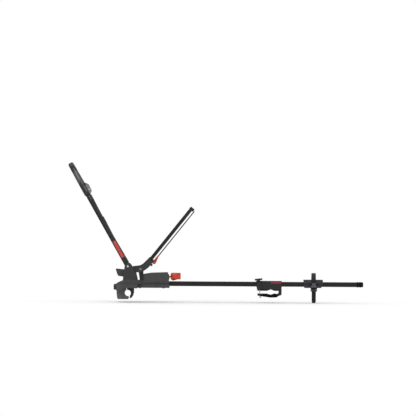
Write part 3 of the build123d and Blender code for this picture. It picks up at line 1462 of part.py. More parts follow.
# Pins of the buckle, the rivet behind it and the screw of the strap's far end
with BuildPart() as tray_pins:
    for pin_z in (buckle_pin_z, pawl_pin_z):
        shaft(strap_x - buckle_w / 2, strap_x + buckle_w / 2, -cheek_y, pin_z, small_pin_r)
    post(strap_x, buckle_rivet_z, rivet_small_r, -frame_face - buckle_back, -tray_waist)
    far_face = strap_half + strap_t / 2
    post(strap_x, strap_screw_z, screw_small_r, strap_in - 2 * overrun, far_face)
    post(strap_x, strap_screw_z, screw_head_r, far_face, far_face + screw_head_t)
finish(tray_pins, "tray_pins")
with BuildPart() as buckle_lever:
    with BuildSketch(Plane.YZ.offset(strap_x - buckle_lever_w / 2)):
        with Locations((-cheek_y, buckle_pin_z)):
            Circle(2.2 * small_pin_r)
        with Locations((-frame_out + seat, buckle_lever_low + buckle_lever_t / 2)):
            Circle(buckle_lever_t / 2)
        with Locations((-frame_out + buckle_lever_t * 0.6, buckle_lever_top - buckle_lever_t)):
            Circle(buckle_lever_t)
        make_hull()
    extrude(amount=buckle_lever_w)
    fillet(buckle_lever.edges().group_by(Axis.Z)[-1], buckle_lever_t * 0.2)
    shaft(
        strap_x - buckle_w, strap_x + buckle_w, -cheek_y, buckle_pin_z, small_pin_r + shaft_gap,
        Mode.SUBTRACT,
    )
finish(buckle_lever, "buckle_lever")
with BuildPart() as release_pawl:
    with BuildSketch(Plane.YZ.offset(strap_x - pawl_w / 2)):
        with Locations((-cheek_y, pawl_pin_z)):
            Circle(2 * small_pin_r)
        with Locations((-frame_out - seat, buckle_low + small_pin_r)):
            Circle(small_pin_r)
        with Locations((-strap_back - small_pin_r, pawl_pin_z + small_pin_r)):
            Circle(small_pin_r - run / 2)
        make_hull()
    extrude(amount=pawl_w)
    shaft(
        strap_x - buckle_w, strap_x + buckle_w, -cheek_y, pawl_pin_z, small_pin_r + shaft_gap,
        Mode.SUBTRACT,
    )
finish(release_pawl, "release_pawl")

# Spring coils on the pawl's pin, one on each side of the pawl
coil_r = small_pin_r + run + spring_wire_r
coil_room = buckle_w / 2 - buckle_wall - pawl_w / 2
coil_pitch = (coil_room - 2 * run - 2 * spring_wire_r) / spring_turns
with BuildPart() as pawl_spring:
    coil_start = strap_x + pawl_w / 2 + run + spring_wire_r
    with BuildLine() as coil_line:
        coil = Helix(
            coil_pitch, coil_pitch * spring_turns, coil_r,
            center=(coil_start, -cheek_y, pawl_pin_z), direction=(1, 0, 0),
        )
    coil_foot = Plane(origin=coil @ 0, z_dir=coil % 0)
    with BuildSketch(coil_foot) as wire:
        Circle(spring_wire_r)
    sweep(wire.sketch, path=coil_line.line)
    mirror(about=Plane.YZ.offset(strap_x))
finish(pawl_spring, "pawl_spring")
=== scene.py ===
"""Roof mounted bike carrier, dressed over its CAD frame.

Metres, in the frame's own axes: X runs back along the rail, Y away from the camera's side and Z up.
The origin lies on the axis of the front crossbar. New pieces are surfaces worked out from formulas,
each in the place of the CAD nodes that it stands for, apart from the small leg screws, which are only
here. Every other node keeps its CAD form.
"""

from math import cos, pi, radians, sin

import bpy
import numpy as np
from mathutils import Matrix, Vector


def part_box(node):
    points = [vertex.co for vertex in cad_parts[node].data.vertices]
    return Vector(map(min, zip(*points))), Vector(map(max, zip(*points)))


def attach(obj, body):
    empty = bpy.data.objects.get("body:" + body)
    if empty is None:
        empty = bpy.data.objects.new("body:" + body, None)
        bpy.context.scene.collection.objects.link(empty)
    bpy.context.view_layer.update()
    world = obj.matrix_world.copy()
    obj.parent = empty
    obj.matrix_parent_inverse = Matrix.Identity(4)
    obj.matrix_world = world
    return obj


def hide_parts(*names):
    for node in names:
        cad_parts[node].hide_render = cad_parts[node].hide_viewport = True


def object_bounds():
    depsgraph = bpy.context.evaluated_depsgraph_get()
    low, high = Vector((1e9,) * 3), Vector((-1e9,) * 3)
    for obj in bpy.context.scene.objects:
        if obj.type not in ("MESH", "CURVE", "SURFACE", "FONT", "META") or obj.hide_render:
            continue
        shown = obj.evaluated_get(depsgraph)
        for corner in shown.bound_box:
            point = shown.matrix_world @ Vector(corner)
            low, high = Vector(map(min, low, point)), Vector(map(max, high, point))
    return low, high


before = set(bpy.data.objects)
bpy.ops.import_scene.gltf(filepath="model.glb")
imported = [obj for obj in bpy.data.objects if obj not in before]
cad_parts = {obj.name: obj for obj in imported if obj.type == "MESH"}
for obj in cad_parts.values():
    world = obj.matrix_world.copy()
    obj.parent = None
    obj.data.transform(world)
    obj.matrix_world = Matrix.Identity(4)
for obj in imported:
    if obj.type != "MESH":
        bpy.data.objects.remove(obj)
cad_low, cad_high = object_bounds()

bl_info = {
    "name": "Roof mounted bike carrier",
    "version": (1, 0, 0),
    "blender": (4, 5, 0),
    "location": "3D View > Sidebar > Carrier",
    "description": "Builds the visible pieces, finishes and stage of a roof mounted bike carrier",
    "category": "Object",
}

# Places that the pieces share, as the CAD frame has them: pivots and tilts of the two hoops, a leg's
# middle, the top cover's shift to the front and its back, the leaning draw bolt, the two screws' heights,
# and the lock lever's pin as a place on the front hoop, up from its pivot and out to the front
HOOP_PIVOT = np.array((0.001, 0.0, 0.1476))
HOOP_TILT = radians(119.5)
REAR_PIVOT = np.array((0.0699, 0.0, 0.1326))
REAR_TILT = radians(51.5)
LEG_MID = 0.064
COVER_SHIFT = 0.002
COVER_BACK = COVER_SHIFT - 0.015
BOLT_TOP = np.array((0.718, -0.028, 0.079))
BOLT_LEAN = radians(6)
BOLT_UP = np.array((-sin(BOLT_LEAN), 0, cos(BOLT_LEAN)))
BOLT_LEVEL = np.array((cos(BOLT_LEAN), 0, sin(BOLT_LEAN)))
CLAMP_SCREW_Z = 0.034
LEAD_SCREW_Z = 0.091
LEVER_PIN = (0.509, COVER_BACK - 0.005)
STRAP_X = 1.021
CREASE = radians(38)
AXIS_X = np.array((1.0, 0.0, 0.0))
AXIS_Y = np.array((0.0, 1.0, 0.0))
AXIS_Z = np.array((0.0, 0.0, 1.0))


# Frame helpers


def corners(name):
    """Lowest and highest corner of a CAD node as arrays."""
    low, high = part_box(name)
    return np.array(low), np.array(high)


def leaning(pivot, tilt):
    """Function for places on a hoop, so far up from its pivot, across the carrier and out to the front.

    It gives pivot + up * (cos tilt, 0, sin tilt) + across * Y + out * (-sin tilt, 0, cos tilt).
    """
    along = np.array((cos(tilt), 0, sin(tilt)))
    front = np.array((-sin(tilt), 0, cos(tilt)))

    def place(up, across, out):
        parts = (up, along), (across, AXIS_Y), (out, front)
        return pivot + sum(np.asarray(size)[..., None] * axis for size, axis in parts)

    return place


on_hoop = leaning(HOOP_PIVOT, HOOP_TILT)
on_rear = leaning(REAR_PIVOT, REAR_TILT)


def on_leg(form):
    """Form drawn up and out from the front hoop's pivot, with its heights across the carrier."""
    return on_hoop(form[..., 0], form[..., 2], form[..., 1])


def ease(share):
    """Smooth step: 3 t^2 - 2 t^3, with t held between 0 and 1."""
    t = np.clip(share, 0, 1)
    return t * t * (3 - 2 * t)


def spread(length, edge, pitch):
    """Distances along a piece: fine over each rounded end and a steady pitch between."""
    arc = edge * (1 - np.cos(np.linspace(0, pi / 2, 6)))
    middle = np.arange(edge + pitch, length - edge, pitch)
    return np.concatenate([arc, middle, length - arc[::-1]])


def blended(first, second, power):
    """Smooth maximum of two radii, or minimum for a power below 0: (first^p + second^p)^(1 / p)."""
    return (first**power + second**power) ** (1 / power)


def end_inset(distance, length, edge):
    """Inset of a rounded end: edge * (1 - sqrt(1 - t^2)), t running from 1 at the end to 0."""
    near = np.minimum(distance, length - distance)
    t = 1 - np.clip(near / edge, 0, 1)
    return edge * (1 - np.sqrt(1 - t * t))


# Outlines and routes


def rounded_outline(width, height, radius, steps=5):
    """Rounded rectangles, one for each width and height: corner centre + radius * (cos a, sin a)."""
    width, height, radius = np.broadcast_arrays(*map(np.atleast_1d, (width, height, radius)))
    angle = (np.linspace(0, pi / 2, steps + 1) + np.arange(4)[:, None] * pi / 2).ravel()
    right = np.repeat(np.array((1, -1, -1, 1)), steps + 1)
    above = np.repeat(np.array((1, 1, -1, -1)), steps + 1)
    a = right * (width / 2 - radius)[:, None] + radius[:, None] * np.cos(angle)
    b = above * (height / 2 - radius)[:, None] + radius[:, None] * np.sin(angle)
    return np.stack([a, b], axis=-1)


def evenly(outline, count):
    """The same closed outline with its points at even steps of its length."""
    loop = np.concatenate([outline, outline[:1]])
    run = np.concatenate([[0], np.cumsum(np.linalg.norm(np.diff(loop, axis=0), axis=1))])
    at = np.linspace(0, run[-1], count, endpoint=False)
    return np.stack([np.interp(at, run, loop[:, k]) for k in (0, 1)], axis=-1)


def round_hull(centres, radii, steps=96):
    """Outline stretched round discs: in each direction n, the greatest c.n + r gives the point c + r n."""
    centres, radii = np.asarray(centres, float), np.asarray(radii, float)
    angle = np.linspace(0, 2 * pi, steps, endpoint=False)
    ways = np.stack([np.cos(angle), np.sin(angle)], axis=-1)
    winner = np.argmax(ways @ centres.T + radii, axis=1)
    return centres[winner] + radii[winner, None] * ways


def bent_route(points, radii, steps=12):
    """Route of a bent bar: straight runs, and at each inner corner an arc of its radius.

    The arc starts radius * tan(turn / 2) before the corner and follows
    centre - radius * (cos(a) * inward - sin(a) * onward) for a from 0 to the turn.
    """
    made = [points[0]]
    for before, corner, after, radius in zip(points, points[1:], points[2:], radii):
        onward = (corner - before) / np.linalg.norm(corner - before)
        leaving = (after - corner) / np.linalg.norm(after - corner)
        turn = np.arccos(np.clip(onward @ leaving, -1, 1))
        inward = leaving - (leaving @ onward) * onward
        inward = inward / np.linalg.norm(inward)
        start = corner - onward * radius * np.tan(turn / 2)
        a = np.linspace(0, turn, steps)[:, None]
        made += list(start + radius * ((1 - np.cos(a)) * inward + np.sin(a) * onward))
    return np.array(made + [points[-1]])


def along_route(route, distances):
    """Points of a route at distances from its start."""
    run = np.concatenate([[0], np.cumsum(np.linalg.norm(np.diff(route, axis=0), axis=1))])
    return np.stack([np.interp(distances, run, route[:, k]) for k in range(route.shape[1])], axis=-1)


def length_of(route):
    """Length of a route."""
    return np.linalg.norm(np.diff(route, axis=0), axis=1).sum()


def carried(route, level, outline):
    """Outline carried along a route in a plane: route + side * a + level * b, with side = level x way."""
    way = np.gradient(route, axis=0)
    side = np.cross(level, way)
    side = side / np.linalg.norm(side, axis=1)[:, None]
    return route[:, None] + side[:, None] * outline[..., 0, None] + level * outline[..., 1, None]


# Skins: closed surfaces over a grid of points


def skin(points):
    """Closed skin over points[i, j], where i runs along the piece and j round it.

    Point (i, j) joins (i, j+1), (i+1, j+1) and (i+1, j), with j taken round, and each end is a fan to
    the middle of its row. The faces are turned so that the volume they enclose is positive.
    """
    rows, cols = points.shape[:2]
    grid = np.arange(rows * cols).reshape(rows, cols)
    ahead = np.roll(grid, -1, axis=1)
    quads = np.stack([grid[:-1], ahead[:-1], ahead[1:], grid[1:]], axis=-1).reshape(-1, 4)
    first = np.full(cols, rows * cols)
    start_fan = np.stack([ahead[0], grid[0], first], axis=-1)
    end_fan = np.stack([grid[-1], ahead[-1], first + 1], axis=-1)
    fans = np.concatenate([start_fan, end_fan])
    verts = np.concatenate([points.reshape(-1, 3), points[:1].mean(1), points[-1:].mean(1)])
    sides = verts[np.concatenate([quads[:, :3], quads[:, [0, 2, 3]], fans])]
    sides = sides - verts.mean(0)
    volume = np.einsum("ij,ij->", sides[:, 0], np.cross(sides[:, 1], sides[:, 2]))
    if volume < 0:
        quads, fans = quads[:, ::-1], fans[:, ::-1]
    return verts, quads, fans


def placed(points, origin, a_axis, b_axis, h_axis):
    """Local points (a, b, h) set in the frame: origin + a * a_axis + b * b_axis + h * h_axis."""
    axes = np.stack([a_axis, b_axis, h_axis])
    return np.asarray(origin) + points @ axes


def plate(centres, radii, low, high, edge, steps=96):
    """Plate of a round_hull outline between two heights, its rims rounded by edge.

    Each row is the hull of discs edge * (1 - sin a) smaller, at edge * (1 - cos a) from its face.
    """
    a = np.linspace(0, pi / 2, 5)
    inset = edge * (1 - np.sin(a))
    lift = edge * (1 - np.cos(a))
    insets = np.concatenate([inset, inset[::-1]])
    heights = np.concatenate([low + lift, high - lift[::-1]])
    rows = [round_hull(centres, np.asarray(radii) - i, steps) for i in insets]
    return np.stack([np.c_[row, np.full(len(row), h)] for row, h in zip(rows, heights)])


def turned(radii, heights, steps=48):
    """Round form from a profile: (r cos t, r sin t, h)."""
    t = np.linspace(0, 2 * pi, steps, endpoint=False)
    r, h = np.asarray(radii, float)[:, None], np.asarray(heights, float)[:, None]
    return np.stack([r * np.cos(t), r * np.sin(t), h + 0 * t], axis=-1)


def bevelled(radius, low, high, bevel=0.0006):
    """Short round bar between two heights, with bevelled rims."""
    return turned((radius - bevel, radius, radius, radius - bevel), (low, low + bevel, high - bevel, high))


def screw_head(radius, height, drive, reach, steps=72):
    """Domed head with a recess: h = height * (0.6 + 0.4 sqrt(1 - s^2)) - depth * mask, s = r / radius.

    The mask is a cross, a slot or a hexagon in the plane of the head, softened over a short run, and
    a straight shank with reach as its radius and its length goes down from the head.
    """
    t = np.linspace(0, 2 * pi, steps, endpoint=False)
    s = np.linspace(1, 0.02, 30)[:, None]
    a, b = radius * s * np.cos(t), radius * s * np.sin(t)
    dome = height * (0.6 + 0.4 * np.sqrt(np.clip(1 - s * s, 0, 1)))
    soft = radius * 0.05
    if drive == "cross":
        wide, far = 0.14 * radius, 0.62 * radius
        bars = np.minimum(np.maximum(np.abs(a) - wide, np.abs(b) - far),
                          np.maximum(np.abs(b) - wide, np.abs(a) - far))
    elif drive == "slot":
        bars = np.maximum(np.abs(a) - 0.11 * radius, np.abs(b) - 0.6 * radius)
    else:
        ways = np.array((0, pi / 3, 2 * pi / 3))[:, None, None]
        bars = np.abs(a * np.cos(ways) + b * np.sin(ways)).max(axis=0) - 0.46 * radius
    depth = 0.55 * height * ease(0.5 - bars / soft)
    top = np.stack([a, b, dome - depth], axis=-1)
    foot = turned([reach, reach, radius, radius], [-reach, 0, 0, height * 0.45], steps)
    return np.concatenate([foot, top])


def notched_disc(radius, thickness, edge, front, notches, place, size, hub_r, hub_h, steps=288):
    """Disc with round notches: r = D cos p - sqrt(s^2 - D^2 sin^2 p) inside a notch, and radius outside.

    D is the notch's place, s its size and p the angle from its middle. The inner rim is rounded by
    edge and the outer one by front, and the outer face steps in to a hub.
    """
    t = np.linspace(0, 2 * pi, steps, endpoint=False)
    turn = 2 * pi / notches
    p = np.mod(t + turn / 2, turn) - turn / 2
    inside = size**2 - (place * np.sin(p)) ** 2
    cut = place * np.cos(p) - np.sqrt(np.clip(inside, 0, None))
    r = np.where(inside > 0, np.minimum(cut, radius), radius)
    a = np.linspace(0, pi / 2, 6)
    inset = edge * (1 - np.sin(a))
    lift = edge * (1 - np.cos(a))
    swell = front / edge
    top = thickness / 2
    dish = top - edge * 0.5
    dish_r, rim_r = radius * 0.72, radius * 0.78
    rows = [(r - i, -top + z) for i, z in zip(inset, lift)]
    rows += [(r - swell * i, top - swell * z) for i, z in zip(inset[::-1], lift[::-1])]
    rows.append((np.minimum(r - swell * edge, rim_r), top))
    rows += [(dish_r, dish), (hub_r * 1.12, dish), (hub_r, top + hub_h), (hub_r * 0.6, top + hub_h)]
    return np.stack([np.stack([out * np.cos(t), out * np.sin(t), z + 0 * t], axis=-1) for out, z in rows])


def thread(radius, depth, pitch, length, steps=24, per_turn=9):
    """Threaded rod along h: r = radius - depth * |2 frac(h / pitch - t / 2 pi) - 1|, plain at its ends."""
    h = np.arange(0, length, pitch / per_turn)
    h = np.append(h, length)[:, None]
    t = np.linspace(0, 2 * pi, steps, endpoint=False)
    wave = np.abs(2 * np.mod(h / pitch - t / (2 * pi), 1) - 1)
    fade = ease(np.minimum(h, length - h) / pitch)
    r = radius - depth * (wave * fade + (1 - fade))
    return np.stack([r * np.cos(t), r * np.sin(t), h + 0 * t], axis=-1)


def level_rod(name, height, pitch):
    """Threaded rod along the rail at a height, from one end of its CAD node to the other."""
    low, high = corners(name)
    rod = thread(radius=0.004, depth=0.0007, pitch=pitch, length=high[0] - low[0])
    return placed(rod, (low[0], 0, height), AXIS_Y, AXIS_Z, AXIS_X)


def both_sides(form, spot):
    """A round form that points out of the near side at a spot, and the same on the far side."""
    near = placed(form, spot, AXIS_X, AXIS_Z, -AXIS_Y)
    return [near, near * np.array((1.0, -1.0, 1.0))]


def make(name, surfaces, finish, body, stands_for=()):
    """One object from closed surfaces, finished, riding on a body and standing for CAD nodes."""
    verts, faces, count = [], [], 0
    for points in surfaces:
        v, quads, fans = skin(points)
        verts.append(v)
        faces += (quads + count).tolist() + (fans + count).tolist()
        count += len(v)
    mesh = bpy.data.meshes.new(name)
    mesh.from_pydata(np.concatenate(verts).tolist(), [], faces)
    mesh.shade_smooth()
    mesh.set_sharp_from_angle(angle=CREASE)
    piece = bpy.data.objects.new(name, mesh)
    bpy.context.scene.collection.objects.link(piece)
    mesh.materials.append(bpy.data.materials["carrier_" + finish])
    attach(piece, body)
    if stands_for:
        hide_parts(*stands_for)
    return piece


# Finishes: node materials, all on the object's own coordinates


def node(tree, kind, settings=None, **inputs):
    """A shader node with its settings; an input is a value or the output that feeds it.

    An input goes by its name, or by its place as i0, i1 and so on.
    """
    made = tree.nodes.new(kind)
    for key, value in (settings or {}).items():
        setattr(made, key, value)
    for key, value in inputs.items():
        socket = made.inputs[int(key[1:])] if key[1:].isdigit() else made.inputs[key.replace("_", " ")]
        if isinstance(value, bpy.types.NodeSocket):
            tree.links.new(value, socket)
        else:
            socket.default_value = value
    return made


def blank(name):
    """Tree and shader of a new material, whose name never meets one that the frame brings."""
    material = bpy.data.materials.new("carrier_" + name)
    material.use_nodes = True
    tree = material.node_tree
    return tree, tree.nodes["Principled BSDF"]


def places_of(tree):
    """The object's own coordinates, which stay on it when it moves."""
    return node(tree, "ShaderNodeTexCoord").outputs["Object"]


def maths(tree, operation, first, second):
    """Result of a Math node for two values."""
    return node(tree, "ShaderNodeMath", {"operation": operation}, i0=first, i1=second).outputs[0]


def dress(tree, shader, colour, roughness, normal, **levels):
    """Feed a shader's colour, roughness and normal, and set the levels that are the same all over."""
    for socket, output in (("Base Color", colour), ("Roughness", roughness), ("Normal", normal)):
        tree.links.new(output, shader.inputs[socket])
    for socket, level in levels.items():
        shader.inputs[socket.replace("_", " ")].default_value = level


def grain(tree, scale, stretch=(1, 1, 1), detail=3.0, centre=(0.5, 0, 0.2)):
    """Noise on coordinates moved to a centre and stretched; scale counts waves to a metre."""
    moved = node(tree, "ShaderNodeMapping", Vector=places_of(tree),
                 Location=[-c * s for c, s in zip(centre, stretch)], Scale=stretch)
    noise = node(tree, "ShaderNodeTexNoise", Vector=moved.outputs[0], Scale=scale, Detail=detail,
                 Roughness=0.55)
    return noise.outputs[0]


def ranged(tree, value, low, high, to_low, to_high):
    """A value taken from one range to another and held inside it."""
    made = node(tree, "ShaderNodeMapRange", Value=value, From_Min=low, From_Max=high, To_Min=to_low,
                To_Max=to_high)
    return made.outputs[0]


def mixed(tree, share, first, second):
    """Colour mixed from two by a share."""
    made = node(tree, "ShaderNodeMix", {"data_type": "RGBA"}, i0=share, i6=first, i7=second)
    return made.outputs[2]


def shade(colour, factor):
    """A colour made darker or lighter."""
    return tuple(min(1.0, c * factor) for c in colour[:3]) + (1.0,)


def softened(tree, height, strength, distance, radius=0.0012):
    """Normal of a surface with its edges rounded off and a fine height on it."""
    edge = node(tree, "ShaderNodeBevel", {"samples": 6}, Radius=radius)
    bump = node(tree, "ShaderNodeBump", Height=height, Strength=strength, Distance=distance,
                Normal=edge.outputs[0])
    return bump.outputs[0]


def worn_edges(tree, radius=0.0012):
    """Share of wear: how far the rounded normal leaves the face's own near an edge, broken up by noise."""
    soft = node(tree, "ShaderNodeBevel", {"samples": 6}, Radius=radius)
    own = node(tree, "ShaderNodeNewGeometry").outputs["Normal"]
    same = node(tree, "ShaderNodeVectorMath", {"operation": "DOT_PRODUCT"}, i0=soft.outputs[0], i1=own)
    edge = ranged(tree, same.outputs["Value"], 0.985, 0.86, 0, 1)
    patch = ranged(tree, grain(tree, 90, detail=4), 0.42, 0.62, 0.15, 1)
    return maths(tree, "MULTIPLY", edge, patch)


def moulded(name, colour, spark=0.12, low=0.42, high=0.6, grit=0.00006, specular=0.3, coat=0.0, wear=0.35,
            shoulder=None, painted_highlight=0.0):
    """Moulded plastic: cloudy colour, a fine eroded grain, paler rubbed edges.

    The colour varies by spark, the roughness lies between low and high, grit is the grain's height, and
    wear is how much of the paler colour the edges take. A shoulder is a height, a depth below it and a
    rise: the sides fall in by rise * t^2 over that depth. The last argument is how much paler the surface
    is painted where its attribute of that name is 1: a painted highlight.
    """
    tree, shader = blank(name)
    cloud = grain(tree, 14, detail=4)
    fine = grain(tree, 1500, detail=2)
    cloudy = ranged(tree, cloud, 0.35, 0.65, 0, 1)
    tint = mixed(tree, cloudy, shade(colour, 1 - spark), shade(colour, 1 + spark))
    # Painted highlight: paler colour where the mesh's attribute says so
    if painted_highlight:
        bright = node(tree, "ShaderNodeAttribute", {"attribute_name": "painted_highlight"}).outputs["Fac"]
        tint = mixed(tree, bright, tint, shade(colour, painted_highlight))
    rubbed = ranged(tree, worn_edges(tree), 0, 1, 0, wear)
    pale = tuple(0.8 * c + 0.02 for c in colour[:3]) + (1.0,)
    normal = softened(tree, fine, 0.6, grit, 0.0014)
    if shoulder:
        top, deep, rise = shoulder
        level = node(tree, "ShaderNodeSeparateXYZ", i0=places_of(tree)).outputs[2]
        t = ranged(tree, level, top, top - deep, 0, 1)
        fall = maths(tree, "MULTIPLY", t, t)
        bump = node(tree, "ShaderNodeBump", Height=fall, Strength=1.0, Distance=-rise, Normal=normal)
        normal = bump.outputs[0]
    rough = ranged(tree, grain(tree, 60, detail=5), 0.3, 0.7, low, high)
    dress(tree, shader, mixed(tree, rubbed, tint, pale), rough, normal, Specular_IOR_Level=specular,
          Coat_Weight=coat, Coat_Roughness=0.08)


def coated_tube(name, colour):
    """Black-coated aluminium: drawing lines along the tube under a satin coat, scuffed edges."""
    tree, shader = blank(name)
    lines = grain(tree, 40, stretch=(0.05, 22, 22), detail=3)
    cloud = grain(tree, 9, detail=3)
    tint = mixed(tree, cloud, shade(colour, 0.8), shade(colour, 1.25))
    scuff = ranged(tree, worn_edges(tree), 0, 1, 0, 0.45)
    bare = (0.06, 0.06, 0.062, 1)
    dress(tree, shader, mixed(tree, scuff, tint, bare), ranged(tree, lines, 0.3, 0.7, 0.3, 0.46),
          softened(tree, lines, 0.35, 0.00004), Specular_IOR_Level=0.18)


def rubber(name, colour, rib_scale):
    """Rubber: matt, dusty in patches, with fine ribs across it from a wave of the scale given."""
    tree, shader = blank(name)
    dust = ranged(tree, grain(tree, 45, detail=5), 0.5, 0.75, 0, 0.5)
    wave = node(tree, "ShaderNodeTexWave", {"bands_direction": "X", "wave_profile": "SIN"},
                Vector=places_of(tree), Scale=rib_scale, Distortion=0.0)
    height = mixed(tree, 0.15, wave.outputs[0], grain(tree, 1100, detail=3))
    dress(tree, shader, mixed(tree, dust, shade(colour, 1), shade(colour, 2.6)),
          ranged(tree, grain(tree, 120), 0.3, 0.7, 0.72, 0.9), softened(tree, height, 0.7, 0.0004),
          Specular_IOR_Level=0.25)


def metal(name, colour, low, high):
    """Plain or plated metal: fine turning marks, duller patches and bright rubbed edges."""
    tree, shader = blank(name)
    marks = grain(tree, 500, detail=3)
    patch = ranged(tree, grain(tree, 70, detail=5), 0.45, 0.7, 0, 1)
    tint = mixed(tree, patch, shade(colour, 1), shade(colour, 0.7))
    rubbed = mixed(tree, worn_edges(tree, 0.0005), tint, shade(colour, 1.35))
    dress(tree, shader, rubbed, ranged(tree, marks, 0.3, 0.7, low, high),
          softened(tree, marks, 0.4, 0.00004, 0.0003), Metallic=1.0)


def seen_rays(tree):
    """1 for rays from the eye, also by way of a reflection or through glass, and 0 for light."""
    path = node(tree, "ShaderNodeLightPath").outputs
    eye = maths(tree, "MAXIMUM", path["Is Camera Ray"], path["Is Glossy Ray"])
    return maths(tree, "MAXIMUM", eye, path["Is Transmission Ray"])


def printed_film(name, colour):
    """Bare label panel: a smooth red film, a little cloudy, with a slight orange peel."""
    tree, shader = blank(name)
    cloud = ranged(tree, grain(tree, 55, detail=2), 0.35, 0.65, 0, 1)
    peel = grain(tree, 420, detail=1)
    dress(tree, shader, mixed(tree, cloud, shade(colour, 0.85), shade(colour, 1.1)),
          ranged(tree, grain(tree, 150), 0.3, 0.7, 0.24, 0.38), softened(tree, peel, 0.3, 0.00005, 0.0004),
          Specular_IOR_Level=0.4)


def webbing(name, colour):
    """Moulded strap: lengthwise flow lines and scuffed, paler high spots."""
    tree, shader = blank(name)
    flow = grain(tree, 60, stretch=(12, 1, 1), detail=3, centre=(STRAP_X, 0, 0))
    scuff = ranged(tree, grain(tree, 130, detail=5), 0.52, 0.72, 0, 0.6)
    dress(tree, shader, mixed(tree, scuff, shade(colour, 1), shade(colour, 2.0)),
          ranged(tree, flow, 0.3, 0.7, 0.45, 0.66), softened(tree, flow, 0.5, 0.00008, 0.0005),
          Specular_IOR_Level=0.2)


# CAD nodes under the finish that each takes
NODES_BY_FINISH = {
    "rail_black": ("rail", "front_hoop_bar", "rear_hoop_bar"),
    "housing_black": ("head_base", "tyre_cradle", "clamp_dial"),
    "shell_black": ("head_shell",),
    "clamp_black": ("mid_body", "rail_end_cap", "rear_tip_block", "front_hook", "carriage"),
    "knob_black": ("mid_knob",),
    # The jaw takes the clamps' black darkened as painted shade
    "jaw_painted_shade": ("mid_jaw",),
    "claw_grey": ("front_claw",),
    "tower_grey": ("tower_left", "tower_right", "bracket_left", "bracket_right", "wheel_tray"),
    "cover_grey": ("leg_covers_lower", "leg_covers_middle", "leg_covers_upper"),
    "cover_gloss": ("top_cover_front", "top_cover_back"),
    "red_plastic": ("adjust_knob", "crank_left", "crank_right"),
    "red_film": ("red_panels",),
    "dark_film": ("mid_label",),
    "rubber_black": ("saddle_pad", "claw_pad", "tyre_pad", "mid_pad", "jaw_pad"),
    "steel_bright": ("hoop_rivets", "clamp_screw", "lever_pin", "tray_pins", "mid_bolt", "pawl_spring"),
    "steel_grey": ("pivot_studs", "crank_bolts"),
    "steel_black": ("head_screws", "rail_bolts", "jaw_hinge_pin", "wire_bail", "lead_screw"),
    "lever_grey": ("lock_lever",),
    "core_metal": ("lock_core",),
    "strap_black": ("strap",),
    "buckle_blue": ("buckle_lever",),
    "buckle_dark": ("buckle_frame", "release_pawl"),
    "nylon_pale": ("hoop_washers", "pivot_washers", "hoop_bushes"),
    "brass": ("claw_nut", "lead_nut", "screw_bush"),
}


# Settings that a user would change


